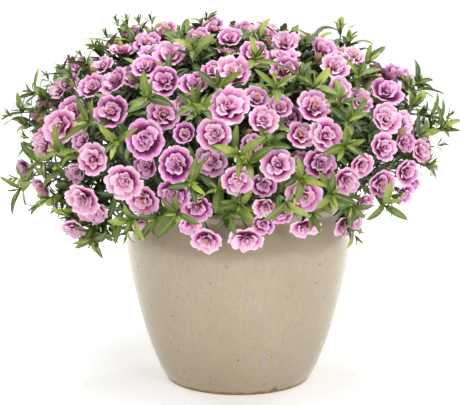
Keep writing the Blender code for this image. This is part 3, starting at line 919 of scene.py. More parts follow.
class MeshSink:
    """Gathers patches of vertices and quads, and writes them as one mesh."""

    def __init__(self) -> None:
        """Starts empty."""
        self.points, self.quads, self.coords, self.tones, self.parts = [], [], [], [], []
        self.count = 0

    def grid(self, points: np.ndarray, coords: np.ndarray, tone: float, part: Part,
             closed: bool = False) -> None:
        """Adds a grid of points.

        Args:
            points: rows x columns x 3 positions.
            coords: rows x columns x 2 surface coordinates.
            tone: the piece's own shade, 0 to 1: a random tone on petals, and on leaves and stems painted shade by
                depth as well.
            part: the surface it has.
            closed: joins the last column to the first.
        """
        rows, columns = points.shape[:2]
        index = np.arange(rows * columns).reshape(rows, columns) + self.count
        if closed:
            index = np.concatenate([index, index[:, :1]], axis=1)
        quads = np.stack([index[:-1, :-1], index[:-1, 1:], index[1:, 1:], index[1:, :-1]], axis=-1)
        self.points.append(points.reshape(-1, 3))
        self.coords.append(coords.reshape(-1, 2))
        self.tones.append(np.full(rows * columns, tone))
        self.quads.append(quads.reshape(-1, 4))
        self.parts.append(np.full(quads.size // 4, part.value))
        self.count += rows * columns

    def build(self, name: str, looks: list) -> bpy.types.Object:
        """Writes the mesh.

        Args:
            name: the object's name.
            looks: one material for each member of Part, in order.

        Returns:
            The new object.
        """
        points = np.concatenate(self.points)
        quads = np.concatenate(self.quads)
        coords = np.concatenate(self.coords)
        tones = np.concatenate(self.tones)
        parts = np.concatenate(self.parts)
        used = sorted(set(parts.tolist()))
        mesh = bpy.data.meshes.new(name)
        mesh.vertices.add(len(points))
        mesh.vertices.foreach_set("co", points.astype(np.float32).ravel())
        mesh.loops.add(quads.size)
        mesh.loops.foreach_set("vertex_index", quads.astype(np.int32).ravel())
        mesh.polygons.add(len(quads))
        mesh.polygons.foreach_set("loop_start", np.arange(0, quads.size, 4, dtype=np.int32))
        mesh.polygons.foreach_set("material_index", np.searchsorted(used, parts).astype(np.int32))
        mesh.polygons.foreach_set("use_smooth", np.ones(len(quads), dtype=bool))
        layer = mesh.uv_layers.new(name="surface")
        layer.data.foreach_set("uv", coords[quads.ravel()].astype(np.float32).ravel())
        tint = mesh.attributes.new("tone", "FLOAT", "POINT")
        tint.data.foreach_set("value", tones.astype(np.float32))
        mesh.update(calc_edges=True)
        mesh.validate()
        for part in used:
            mesh.materials.append(looks[part])
        made = bpy.data.objects.new(name, mesh)
        bpy.context.scene.collection.objects.link(made)
        return made


def turned(points: np.ndarray, turn: Matrix, at: Vector) -> np.ndarray:
    """Rotates local points by turn and moves them to at.

    Args:
        points: an array whose last axis holds x, y and z.
        turn: the rotation.
        at: where the local origin goes.

    Returns:
        The placed points, in the same shape.
    """
    return points @ np.array(turn).T + np.array(at)


def grid_coords(rows: int, columns: int, across: tuple = (0.0, 1.0),
                along: tuple = (0.0, 1.0)) -> np.ndarray:
    """Gives a grid even surface coordinates.

    Args:
        rows: how many rows it has.
        columns: how many columns it has.
        across: the first and last coordinate across its columns.
        along: the first and last coordinate along its rows.

    Returns:
        Rows x columns x 2 coordinates.
    """
    v, u = np.meshgrid(np.linspace(*along, rows), np.linspace(*across, columns), indexing="ij")
    return np.stack([u, v], axis=-1)


def tube(sink: MeshSink, route: list, radii: list, tone: float, sides: int = 6) -> None:
    """Adds a stem along a route.

    Args:
        sink: the mesh that it joins.
        route: the points it runs through.
        radii: its radius at each point.
        tone: its shade.
        sides: how many sides it has.
    """
    stops = np.array([tuple(p) for p in route])
    ahead = np.gradient(stops, axis=0)
    ahead /= np.linalg.norm(ahead, axis=1, keepdims=True) + 1e-12
    side = np.cross(ahead[0], (0.31, 0.52, 0.79))
    side /= np.linalg.norm(side)
    rows = []
    for stop, way, radius in zip(stops, ahead, radii):
        side = side - way * side.dot(way)
        side /= np.linalg.norm(side)
        up = np.cross(way, side)
        turns = np.linspace(0, TURN, sides, endpoint=False)[:, None]
        rows.append(stop + radius * (np.cos(turns) * side + np.sin(turns) * up))
    sink.grid(np.array(rows), grid_coords(len(rows), sides), tone, Part.GREEN, closed=True)


@dataclass
class BladeStyle:
    """How a leaf is drawn: columns across it, rows along it, its fold, its arch and its edge waves."""

    columns: int = 5
    rows: int = 8
    fold: float = 0.30
    arch: float = 0.10
    wave: float = 0.035

    def points(self, length: float, width: float, draw: random.Random) -> np.ndarray:
        """Builds a blade along +X with its upper face to +Z.

        Args:
            length: from the base to the point.
            width: at its widest.
            draw: the source of its small differences.

        Returns:
            A grid of points.
        """
        u = np.linspace(-1, 1, self.columns)[None, :]
        v = np.linspace(0, 1, self.rows)[:, None]
        outline = np.sin(math.pi * np.clip(v, 0, 1) ** 0.86) ** 0.62
        outline = np.maximum(outline, 0.10 * (1 - v))
        fold = self.fold * draw.uniform(0.5, 1.3)
        arch = self.arch * draw.uniform(0.2, 2.0) * length
        phase = draw.uniform(*ANY_TURN)
        y = u * outline * width / 2
        x = v * length + 0 * u
        z = fold * np.abs(y) + arch * (np.sin(math.pi * v * 0.75) - 0.9 * v ** 2)
        z = z + self.wave * length * 0.3 * u * np.sin(9 * v + phase) * v
        bend = draw.uniform(-0.10, 0.10) * length * v ** 2
        return np.stack([x, y + bend, z + 0 * u], axis=-1)


@dataclass
class FineBloom:
    """One double bloom in full: a trumpet, rings of inner petals, sepals and, on some, anthers."""

    sink: MeshSink
    bloom: Bloom
    draw: random.Random
    spokes: int = 40
    # The trumpet's section: share of the way out, radius as a share of the bloom's, and height in millimetres.
    profile: tuple = (
        (0.00, 0.075, -15.0), (0.12, 0.11, -11.5), (0.24, 0.17, -8.2), (0.36, 0.29, -5.8),
        (0.50, 0.47, -4.2), (0.62, 0.62, -3.2), (0.74, 0.76, -2.0), (0.87, 0.90, -1.0), (1.00, 1.00, -0.9),
    )
    # The inner petals ring by ring: how many, reach, lean, half width in degrees, and how much they curl in.
    rings: tuple = (
        (5, 0.56, 0.60, 41.0, 0.45), (5, 0.46, 0.90, 45.0, 0.80), (4, 0.37, 1.12, 56.0, 1.10),
        (3, 0.29, 1.28, 70.0, 1.70),
    )
    # The sepals' section: share of the way up, half width, and distance from the tube in millimetres.
    sepal: tuple = ((0, 0.5, 0.6), (0.35, 0.9, 1.9), (0.7, 0.7, 3.2), (1, 0.06, 5.4))
    # The share of blooms that show their anthers.
    anther_share: float = 0.3

    def __post_init__(self) -> None:
        """Works out how it is turned, its shade and how wide it is open."""
        self.turn = frame_of(self.bloom.axis, self.bloom.roll)
        self.tone = self.draw.random()
        self.wide = self.bloom.radius * self.draw.uniform(0.90, 1.06)

    def put(self, points: np.ndarray, coords: np.ndarray, tone: float, part: Part, closed: bool) -> None:
        """Adds a grid of local points, moved to where the bloom is.

        Args:
            points: the grid.
            coords: its surface coordinates.
            tone: its shade.
            part: the surface it has.
            closed: joins the last column to the first.
        """
        self.sink.grid(turned(points, self.turn, self.bloom.at), coords, tone, part, closed)

    def build(self) -> None:
        """Adds the whole bloom."""
        self.trumpet()
        self.rosette()
        self.calyx()
        if self.draw.random() < self.anther_share:
            self.anthers()

    def trumpet(self) -> None:
        """Adds the outer corolla: five lobes, notched between and ruffled at the edge."""
        draw = self.draw
        angle = np.linspace(0, TURN, self.spokes, endpoint=False)[None, :]
        lobe = np.abs(((angle * 5 / TURN) + 0.5) % 1.0 - 0.5) * 2
        gap = np.clip((lobe - 0.62) / 0.38, 0, 1) ** 2
        cleft = np.clip(1 - lobe / 0.22, 0, 1) ** 2
        phases = [draw.uniform(*ANY_TURN) for _ in range(4)]
        lobes = 1 + 0.05 * np.sin(angle + phases[0]) + 0.04 * np.sin(2 * angle + phases[1])
        edge = lobes * (1 - draw.uniform(0.09, 0.19) * gap - 0.05 * cleft)
        cup = draw.uniform(-0.8, 1.6) * MM
        rows = []
        for t, radius, height in self.profile:
            out = self.wide * radius * (1 + (edge - 1) * t ** 2.2)
            ruffle = np.sin(5 * angle + phases[2]) * 0.9 + np.sin(11 * angle + phases[3]) * 0.7
            z = height * MM + 0 * angle + t ** 3 * (ruffle * self.bloom.radius * 0.085 + cup)
            z = z - 1.4 * MM * gap * t ** 2
            rows.append(np.stack([out * np.cos(angle), out * np.sin(angle), z], axis=-1)[0])
        coords = grid_coords(len(rows), self.spokes, (0.0, 5.0 - 5.0 / self.spokes))
        coords[..., 1] = np.array([p[0] for p in self.profile])[:, None]
        self.put(np.array(rows), coords, self.tone, Part.PETAL, True)

    def rosette(self) -> None:
        """Adds the inner petals, ring within ring: broad, rounded, rolled at the rim and closing inwards."""
        draw = self.draw
        start = draw.uniform(*ANY_TURN)
        u = np.linspace(-1, 1, 7)[None, :]
        v = np.linspace(0, 1, 6)[:, None]
        for count, reach, lean, half, curl in self.rings:
            start += draw.uniform(0.4, 0.9)
            for i in range(count):
                centre = start + TURN * i / count + draw.uniform(-0.2, 0.2)
                size = self.wide * reach * draw.uniform(0.76, 1.20)
                tilt = lean * draw.uniform(0.60, 1.28)
                fold = curl * draw.uniform(0.3, 1.5)
                phase = draw.uniform(*ANY_TURN)
                blunt = 1 - 0.30 * u ** 4 * v - 0.07 * np.cos(2.2 * math.pi * u + phase) * v ** 2
                run = size * v * blunt
                turn_up = tilt + fold * (v - 0.35) * 0.8
                base = (0.04 + 0.14 * (reach - 0.25)) * self.bloom.radius
                frill = np.sin(3.6 * u + phase) * 0.20 * size * v ** 1.6
                frill = frill + np.sin(8.3 * u + 1.7 * phase) * 0.07 * size * v ** 3
                roll = 0.22 * size * np.clip(v - 0.72, 0, 1) / 0.28 * (reach > 0.3)
                out = base + run * np.cos(turn_up) + roll - frill * np.sin(turn_up) * 0.6
                lift = run * np.sin(turn_up) * 0.95 + frill * 0.7 - 0.16 * size * u ** 2 * v
                turn_by = centre + u * math.radians(half) * (0.45 + 0.55 * v ** 0.8)
                z = -4.9 * MM + (0.6 - reach) * 6.0 * MM + lift
                points = np.stack([out * np.cos(turn_by), out * np.sin(turn_by), z + 0 * u], axis=-1)
                self.put(points, grid_coords(6, 7, (0.0, 1.0), (1.0, 2.0)), self.tone, Part.PETAL, False)

    def calyx(self) -> None:
        """Adds the five narrow green sepals round the tube."""
        for i in range(5):
            angle = TURN * i / 5 + self.draw.uniform(-0.2, 0.2)
            out = np.array((math.cos(angle), math.sin(angle), 0.0))
            side = np.array((-math.sin(angle), math.cos(angle), 0.0))
            rows = []
            for t, wide, away in self.sepal:
                middle = out * away * MM + np.array((0, 0, (-15.4 + 9.0 * t) * MM))
                rows.append([middle - side * wide * MM, middle + out * 0.15 * MM, middle + side * wide * MM])
            self.put(np.array(rows), grid_coords(4, 3), 0.75, Part.GREEN, False)

    def anthers(self) -> None:
        """Adds three yellow anthers that peep out of the rosette."""
        v = np.linspace(0, math.pi, 5)[:, None]
        u = np.linspace(0, TURN, 6, endpoint=False)[None, :]
        ball = np.stack([np.sin(v) * np.cos(u), np.sin(v) * np.sin(u), np.cos(v) + 0 * u], axis=-1)
        for _ in range(3):
            angle = self.draw.uniform(*ANY_TURN)
            at = Vector((1.5 * math.cos(angle), 1.5 * math.sin(angle), self.draw.uniform(1.2, 2.8))) * MM
            local = ball * np.array((1.0, 0.8, 0.7)) * 1.1 * MM + np.array(at)
            self.put(local, grid_coords(5, 6), 0.5, Part.ANTHER, True)


@dataclass
class Thicket:
    """Everything on the plant that is finer than its CAD solids."""

    plant: Plant
    blade: BladeStyle = field(default_factory=BladeStyle)
    twigs: int = 430
    extras: int = 84
    # Lengths of the leaves inside the bush and of those below a tip, in millimetres.
    inner_leaf: tuple = (15.0, 25.0)
    tip_leaf: tuple = (18, 27)
    # Widths of leaves as shares of their length: on stems, below a tip, at its end, and inside. A
    # frame's leaf is drawn this much narrower than its solid.
    stem_slim: float = 0.27
    tip_slim: float = 0.26
    end_slim: float = 0.23
    inner_slim: float = 0.28
    frame_slim: float = 0.86
    # Radii of the fine stems: twigs, tufts, and the stalks of buds.
    twig_radius: float = 0.9 * MM
    tuft_radius: float = 0.8 * MM
    bud_radius: float = 0.6 * MM
    # Painted shade of stems, as places on the leaves' ramp: dark deep in the bush, lighter where they show.
    stem_depth_shade: float = 0.15
    inner_depth_shade: float = 0.3
    tip_depth_shade: float = 0.55
    stalk_depth_shade: float = 0.7
    # How many of the extras are shrivelled blooms, and the section of those and of the buds: share of
    # the height, and share of the width.
    spent_share: float = 0.42
    bud: tuple = ((0.0, 0.35), (0.2, 0.7), (0.45, 0.8), (0.7, 1.0), (0.88, 0.8), (1.0, 0.1))

    def __post_init__(self) -> None:
        """Gathers the blooms as arrays, so that a leaf can be tested against all of them at once."""
        blooms = self.plant.blooms
        self.draw = random.Random(SEED + 1)
        self.at = np.array([tuple(b.at) for b in blooms])
        self.axes = np.array([tuple(b.axis) for b in blooms])
        self.radii = np.array([b.radius for b in blooms])
        self.green = {s.number: MeshSink() for s in self.plant.shoots}
        self.pink = {s.number: MeshSink() for s in self.plant.shoots}

    def pierces(self, start: Vector, end: Vector) -> bool:
        """Tells whether a line goes through the face of a bloom.

        Args:
            start: one end of the line.
            end: the other end.

        Returns:
            True where it does.
        """
        a = np.array(start) - self.at
        b = np.array(end) - self.at
        high = np.einsum("ij,ij->i", a, self.axes) + 1.5 * MM
        low = np.einsum("ij,ij->i", b, self.axes) + 1.5 * MM
        share = np.clip(high / (high - low + 1e-9), 0, 1)
        meet = a + (b - a) * share[:, None]
        away = meet - self.axes * np.einsum("ij,ij->i", meet, self.axes)[:, None]
        return bool(np.any((high * low < 0) & (np.linalg.norm(away, axis=1) < self.radii * 0.98)))

    def in_pot(self, point: Vector) -> bool:
        """Tells whether a point is in the pot's wall or in the soil.

        Args:
            point: the point.

        Returns:
            True where it is, or within 2 mm of them.
        """
        across = math.hypot(point.x, point.y)
        if point.z > POT.top + 1 * MM or across >= POT.outer_radius(max(point.z, 0.0)) + 2 * MM:
            return False
        return point.z < POT.soil_top + 2 * MM or across > POT.soil_radius + 1 * MM

    def depth_shade_at(self, point: Vector) -> float:
        """A leaf's painted shade from how deep it is: 1 on the mound's surface, 0 deep inside the bush."""
        return min(max((math.sqrt(MOUND.value(point)) - 0.62) / 0.42, 0.0), 1.0)

    def leaf(self, sink: MeshSink, base: Vector, axis: Vector, spin: float, rise: float, length: float,
             width: float, must: bool = False) -> None:
        """Adds a leaf where it goes through no bloom and stays out of the pot.

        Args:
            sink: the mesh that it joins.
            base: its foot.
            axis: the way its twig grows.
            spin: its turn round the twig.
            rise: its angle up from square to the twig.
            length: its length.
            width: its width.
            must: adds it whatever it meets.
        """
        side = frame_of(axis, spin) @ Vector((1.0, 0.0, 0.0))
        along = (side * math.cos(rise) + axis * math.sin(rise)).normalized()
        top = (axis * math.cos(rise) - side * math.sin(rise)).normalized()
        tip, middle = base + along * length, base + along * length * 0.5
        if not must and (self.in_pot(tip) or self.in_pot(middle) or self.pierces(base, tip)):
            return
        turn = Matrix((along, top.cross(along), top)).transposed()
        points = self.blade.points(length, width, self.draw)
        # Painted shade: a leaf deeper in the bush gets a darker colour, times a random tone of its own.
        tone = self.depth_shade_at(middle) * (0.45 + 0.55 * self.draw.random())
        coords = grid_coords(self.blade.rows, self.blade.columns)
        sink.grid(turned(points, turn, base), coords, tone, Part.GREEN)

    def whorl(self, sink: MeshSink, at: Vector, axis: Vector, length: float) -> None:
        """Adds two leaves at one place on a stem.

        Args:
            sink: the mesh that they join.
            at: the place.
            axis: the way the stem grows.
            length: their usual length in millimetres.
        """
        spin = self.draw.uniform(*ANY_TURN)
        for _ in range(2):
            spin += GOLDEN_ANGLE
            size = self.draw.uniform(0.8, 1.1) * length * MM
            self.leaf(sink, at, axis, spin, self.draw.uniform(0.2, 0.9), size, size * self.stem_slim)

    def add_stems(self) -> None:
        """Adds each shoot's stem and knot, where the frame has them, with leaves up the stem."""
        for shoot in self.plant.shoots:
            sink = self.green[shoot.number]
            foot = shoot.knot - shoot.outward * shoot.knot_height
            curve = bend(shoot.top_of_hole, foot - shoot.outward * 12 * MM, foot, 10)
            route = [shoot.hole] + curve + [shoot.knot]
            radii = [shoot.stem_radius] * 10 + [shoot.knot_radius * 0.6, shoot.knot_radius * 0.35]
            tube(sink, route, radii, self.stem_depth_shade, 8)
            for i in range(3, 10):
                self.whorl(sink, route[i], (route[i] - route[i - 1]).normalized(), 17.0 + i)

    def add_tips(self) -> None:
        """Adds the leafy tips: the frame's own leaves, and smaller ones above and below."""
        for tip in self.plant.tips:
            sink = self.green[tip.shoot.number]
            start, end = tip.route[0], tip.route[-1]
            via = tip.route[1] if len(tip.route) > 2 else (start + end) / 2
            route = bend(start, via * 2 - (start + end) / 2, end, 9)
            top = end + tip.turn @ Vector((0.0, 0.0, 8 * MM))
            radii = [tip.radius * (1.1 - 0.06 * i) for i in range(9)] + [0.4 * MM]
            tube(sink, route + [top], radii, self.tip_depth_shade, 6)
            for side, leaf in tip.leaves.items():
                out = frame_of(tip.axis, 0.0).inverted() @ (tip.turn @ tip.way_out(side, leaf))
                spin = math.atan2(out.y, out.x)
                self.leaf(sink, end, tip.axis, spin, leaf.rise, leaf.length, leaf.width * self.frame_slim, True)
            self.dress_tip(sink, tip, route)

    def add_tufts(self) -> None:
        """Adds slim leafy tufts where the outline of the plant is fuller than its main tips."""
        for across, down in FRONT_TUFTS:
            end, line = VIEW.seen(across, down)
            axis = (MOUND.normal(end) * 0.8 - line * 0.2 + Vector((0.0, 0.0, 0.3))).normalized()
            shoot = self.plant.nearest(end)
            start = shoot.knot - shoot.outward * 3 * MM
            via = (start + end) / 2 - axis * (end - start).length * 0.12
            tip = Tip([start, via, end], axis, self.draw.uniform(*ANY_TURN))
            route = bend(start, via * 2 - (start + end) / 2, end, 9)
            sink = self.green[shoot.number]
            tube(sink, route, [self.tuft_radius] * 9, self.tip_depth_shade, 5)
            self.dress_tip(sink, tip, route)
            for point in route[3:8]:
                self.whorl(sink, point, axis, 20.0)

    def dress_tip(self, sink: MeshSink, tip: Tip, route: list) -> None:
        """Adds the rest of a tip's leaves in a spiral, longer below and short and upright at the end.

        Args:
            sink: the mesh that they join.
            tip: the tip.
            route: the points that its branch runs through.
        """
        spin = self.draw.uniform(*ANY_TURN)
        for i in range(9):
            spin += GOLDEN_ANGLE
            base = route[-1] + (route[-2] - route[-1]) * (0.25 + 0.42 * i)
            size = self.draw.uniform(*self.tip_leaf) * MM
            self.leaf(sink, base, tip.axis, spin, self.draw.uniform(0.15, 0.75), size, size * self.tip_slim)
        for i in range(6):
            spin += GOLDEN_ANGLE
            base = route[-1] + tip.turn @ Vector((0.0, 0.0, (1.0 + 1.3 * i) * MM))
            size = (14.0 - 1.3 * i) * self.draw.uniform(0.85, 1.15) * MM
            self.leaf(sink, base, tip.axis, spin, 0.55 + 0.13 * i, size, size * self.end_slim)

    def add_twigs(self) -> None:
        """Fills the bush behind its blooms: short twigs from every knot, with leaves all along them."""
        for i in range(self.twigs):
            end = MOUND.point(even_way(i, self.twigs), self.draw.uniform(0.78, 0.93))
            if MOUND.normal(end).z < -0.72 or self.in_pot(end):
                continue
            shoot = self.plant.nearest(end)
            start = shoot.knot - shoot.outward * 3 * MM
            axis = (MOUND.normal(end) + Vector((0.0, 0.0, 0.3))).normalized()
            route = bend(start, end - axis * (end - start).length * 0.4, end, 8)
            sink = self.green[shoot.number]
            tube(sink, route, [self.twig_radius] * 8, self.inner_depth_shade, 5)
            spin = self.draw.uniform(*ANY_TURN)
            for point, count in zip(route[2:], (2, 2, 2, 2, 2, 4)):
                for _ in range(count):
                    spin += GOLDEN_ANGLE
                    size = self.draw.uniform(*self.inner_leaf) * MM
                    self.leaf(sink, point, axis, spin, self.draw.uniform(0.0, 0.8), size, size * self.inner_slim)

    def add_blooms(self) -> None:
        """Adds every bloom on its stalk, and the knot that the stalks of a spray leave from."""
        for shoot in self.plant.shoots:
            low = shoot.knot + shoot.outward * CLEAR
            high = low + shoot.outward * shoot.knot_height
            tube(self.pink[shoot.number], [low, high], [1.6 * MM, 1.2 * MM], 0.5)
        for bloom in self.plant.blooms:
            shoot, tail = bloom.shoot, bloom.tail
            sink = self.pink[shoot.number]
            knot = shoot.knot + shoot.outward * (CLEAR + shoot.knot_height * 0.5)
            pull = (knot + tail) / 2 if bloom.via is None else bloom.via * 2 - (knot + tail) / 2
            route = bend(knot, pull - bloom.axis * 3 * MM, tail, 8)
            tube(sink, route, [0.75 * MM] * 5 + [0.8 * MM, 0.95 * MM, 1.1 * MM], self.stalk_depth_shade, 5)
            FineBloom(sink, bloom, self.draw).build()

    def add_extras(self) -> None:
        """Adds closed buds and shrivelled blooms on thin stalks between the open blooms."""
        for i in range(self.extras):
            end = MOUND.point(even_way(i, self.extras, 1.0), self.draw.uniform(0.93, 0.985))
            spent = self.draw.random() < self.spent_share
            axis = (MOUND.normal(end) + self.plant.jitter(0.5)).normalized()
            near = np.linalg.norm(self.at - np.array(end), axis=1) - self.radii
            if MOUND.normal(end).z < -0.6 or self.in_pot(end) or near.min() < -4 * MM:
                continue
            shoot = self.plant.nearest(end)
            sink = self.pink[shoot.number]
            route = bend(shoot.knot, end - axis * (end - shoot.knot).length * 0.4, end, 8)
            tube(sink, route, [self.bud_radius] * 8, self.stalk_depth_shade, 5)
            self.add_bud(sink, end, axis, spent)

    def add_bud(self, sink: MeshSink, at: Vector, axis: Vector, spent: bool) -> None:
        """Adds one closed bud, or the crumpled remains of a bloom, with sepals at its foot.

        Args:
            sink: the mesh that it joins.
            at: its foot.
            axis: the way it faces.
            spent: makes it a shrivelled bloom.
        """
        tall, wide, crumple, ragged = (8.0, 3.4, 0.28, 0.16) if spent else (9.0, 2.1, 0.07, 0.0)
        size = self.draw.uniform(0.8, 1.2) * MM
        angle = np.linspace(0, TURN, 15, endpoint=False)[None, :]
        rows = []
        for t, share in self.bud:
            out = share * wide * size * (1 + crumple * np.sin(5 * angle + 4 * t) * t)
            z = t * tall * size * (1 + ragged * np.sin(3 * angle + 1))
            rows.append(np.stack([out * np.cos(angle), out * np.sin(angle), z], axis=-1)[0])
        turn = frame_of(axis, self.draw.uniform(*ANY_TURN))
        part = Part.SPENT if spent else Part.GREEN
        sink.grid(turned(np.array(rows), turn, at), grid_coords(6, 15), 1.0, part, closed=True)
        for k in range(5):
            self.leaf(sink, at, axis, k * 1.257, 0.7, 6.5 * size, 1.8 * size, True)

    def build(self, looks: list, nodes: Iterable) -> None:
        """Writes every shoot and spray, and gives each its CAD node.

        Args:
            looks: one material for each member of Part.
            nodes: the names of the frame's nodes.
        """
        self.add_blooms()
        self.add_extras()
        self.add_stems()
        self.add_tips()
        self.add_tufts()
        self.add_twigs()
        for shoot in self.plant.shoots:
            for sink, node, name, slot in (
                (self.green[shoot.number], f"shoot_{shoot.number:02d}", "Leafy_Shoot", "leaf"),
                (self.pink[shoot.number], f"blooms_{shoot.number:02d}", "Bloom_Spray", "petal"),
            ):
                if node not in nodes:
                    continue
                piece = sink.build(f"{name}_{shoot.number:02d}", looks)
                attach(piece, "root")
                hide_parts(node)
                LOG.info("%s stands for %s", piece.name, node)


@dataclass
class Wiring:
    """A node tree that is being wired."""

    tree: bpy.types.NodeTree

    def feed(self, node: bpy.types.Node, inputs: dict) -> None:
        """Sets or links a node's inputs.

        Args:
            node: the node.
            inputs: for each input, by name or number, a value, a socket, or a node that stands for its
                first output in use.
        """
        for key, value in inputs.items():
            if isinstance(value, bpy.types.Node):
                value = next(socket for socket in value.outputs if socket.enabled)
            if isinstance(value, bpy.types.NodeSocket):
                self.tree.links.new(value, node.inputs[key])
            else:
                node.inputs[key].default_value = value

    def add(self, kind: str, inputs: Optional[dict] = None, stops: tuple = (), **settings) -> bpy.types.Node:
        """Adds a node with its settings and links.

        Args:
            kind: its type after the word ShaderNode.
            inputs: what feed takes.
            stops: the places and hex colours of a colour ramp.
            settings: attributes to set on it.

        Returns:
            The node.
        """
        node = self.tree.nodes.new("ShaderNode" + kind)
        for key, value in settings.items():
            setattr(node, key, value)
        for i, (place, code) in enumerate(stops):
            band = node.color_ramp.elements
            mark = band[i] if i < len(band) else band.new(place)
            mark.position, mark.color = place, srgb(code)
        self.feed(node, inputs or {})
        return node


class Finish(Wiring):
    """A material that is being made, with its Principled shader."""

    def __init__(self, name: str) -> None:
        """Starts the material.

        Args:
            name: what it is called.
        """
        self.material = bpy.data.materials.new(name)
        self.material.use_nodes = True
        super().__init__(self.material.node_tree)
        self.shader = self.tree.nodes["Principled BSDF"]


# The petals of a living flower. Their skin is a velvet of tiny cones that scatters the light, so the
# eye gets soft, even pinks with no highlight and a faint sheen at the edges.
@dataclass(frozen=True)
class PetalFinish:
    """Matte petals, painted by distance from the throat: burgundy, magenta, rose and a pale edge. The burgundy is
    partly the throat's own colour and partly painted shade in the groove and creases.
    """

    roughness: float = 0.62
    sheen: float = 0.15
    # A petal's cells are far too fine to show, so the mottling is drawn in patches of this many millimetres.
    mottle: float = 2.4
    # Veins, as a phase in radians over one lobe or inner petal: 7 of them, about 2.7 mm apart at the
    # rim of a bloom 30 mm wide. Real ones are closer, too fine to show.
    veins: float = 44.0
    vein: str = "#B8488F"
    # Places 0 to 0.5 lie along the trumpet, 0.5 to 1 along the inner petals.
    # The dark burgundy stops, round the rosette on the trumpet and at the foot of the inner petals, are partly the
    # bloom's own deep throat colour and partly painted shade.
    trumpet: tuple = (
        (0.00, "#B8B878"), (0.10, "#A9607A"), (0.17, "#4E0A2C"), (0.275, "#5C0C38"), (0.305, "#902064"),
        (0.338, "#C25CA0"), (0.375, "#DF97C7"), (0.43, "#EFBCDC"), (0.495, "#F8D9EA"),
    )
    inner: tuple = (
        (0.505, "#4C0A2E"), (0.64, "#821E5A"), (0.74, "#BE5C9C"), (0.83, "#E59ECA"), (0.92, "#F4C6E0"),
        (1.00, "#FADFEE"),
    )

    def build(self) -> bpy.types.Material:
        """Makes the material.

        Returns:
            The petals' material.
        """
        n = Finish("petal_velvet_painted_by_radius")
        surface = n.add("SeparateXYZ", {0: n.add("UVMap", uv_map="surface")})
        tone = n.add("Attribute", attribute_name="tone").outputs["Fac"]
        grain = {"Vector": n.add("NewGeometry"), "Scale": 1 / (self.mottle * MM), "Detail": 3.0}
        noise = n.add("TexNoise", grain)
        # The place on the ramps, moved a little by the mottling and by each bloom's own shade.
        place = n.add("Math", {0: surface.outputs["Y"], 1: 0.5, 2: -0.10}, operation="MULTIPLY_ADD")
        place = n.add("Math", {0: noise, 1: 0.12, 2: place}, operation="MULTIPLY_ADD")
        place = n.add("Math", {0: tone, 1: 0.10, 2: place}, operation="MULTIPLY_ADD")
        trumpet = n.add("ValToRGB", {0: place}, self.trumpet)
        inner = n.add("ValToRGB", {0: place}, self.inner)
        is_inner = n.add("Math", {0: surface.outputs["Y"], 1: 0.9995}, operation="GREATER_THAN")
        colour = n.add("Mix", {0: is_inner, 6: trumpet, 7: inner}, data_type="RGBA")
        wobble = n.add("Math", {0: noise, 1: 5.0}, operation="MULTIPLY")
        wave = n.add("Math", {0: surface.outputs["X"], 1: self.veins, 2: wobble}, operation="MULTIPLY_ADD")
        vein = n.add("MapRange", {"Value": n.add("Math", {0: wave}, operation="SINE"), "To Max": 0.12})
        colour = n.add("Mix", {0: vein, 6: colour, 7: srgb(self.vein)}, data_type="RGBA")
        hue = n.add("Math", {0: tone, 1: 0.03, 2: 0.485}, operation="MULTIPLY_ADD")
        richness = n.add("Math", {0: tone, 1: 0.18, 2: 1.02}, operation="MULTIPLY_ADD")
        colour = n.add("HueSaturation", {"Hue": hue, "Saturation": richness, "Color": colour})
        n.feed(n.shader, {"Base Color": colour, "Roughness": self.roughness, "Sheen Weight": self.sheen})
        return n.material


# Young leaves and stems under a thin natural wax. The eye gets a satin green with a soft, broad highlight. Their
# colour holds painted light and shade: yellower on the mound's surface and near black in the depth of the bush.
@dataclass(frozen=True)
class LeafFinish:
    """Satin leaves and stems with a pale midrib, painted yellow-green at the tips as painted light and deep green
    inside as painted shade.
    """

    roughness: float = 0.46
    # Patches of lighter and darker green, in millimetres, about a quarter of a leaf long.
    mottle: float = 6.0
    rib: str = "#A8BF6C"
    # How much of the half width the midrib takes, and how pale it is.
    rib_share: float = 1 / 9
    rib_strength: float = 0.45
    # From painted shade deep in the bush to painted light on the mound's surface.
    depth_shade_ramp: tuple = (
        (0.0, "#151F0B"), (0.35, "#324319"), (0.58, "#516520"), (0.82, "#76882F"), (1.0, "#A8B54B"),
    )

    def build(self) -> bpy.types.Material:
        """Makes the material.

        Returns:
            The leaves' and stems' material.
        """
        n = Finish("leaf_satin_shaded_by_depth")
        surface = n.add("SeparateXYZ", {0: n.add("UVMap", uv_map="surface")})
        tone = n.add("Attribute", attribute_name="tone").outputs["Fac"]
        grain = {"Vector": n.add("NewGeometry"), "Scale": 1 / (self.mottle * MM), "Detail": 4.0}
        # Painted shade: the tone attribute, low for leaves deep in the bush, picks the green on the ramp, shaken by
        # mottling.
        lower = n.add("Math", {0: tone, 1: -0.175}, operation="ADD")
        shade = n.add("Math", {0: n.add("TexNoise", grain), 1: 0.35, 2: lower}, operation="MULTIPLY_ADD")
        colour = n.add("ValToRGB", {0: shade}, self.depth_shade_ramp)
        off = n.add("Math", {0: surface.outputs["X"], 1: -0.5}, operation="ADD")
        off = n.add("Math", {0: off}, operation="ABSOLUTE")
        fade = {"Value": off, "From Max": self.rib_share, "To Min": self.rib_strength, "To Max": 0.0}
        colour = n.add("Mix", {0: n.add("MapRange", fade), 6: colour, 7: srgb(self.rib)}, data_type="RGBA")
        n.feed(n.shader, {"Base Color": colour, "Roughness": self.roughness})
        return n.material


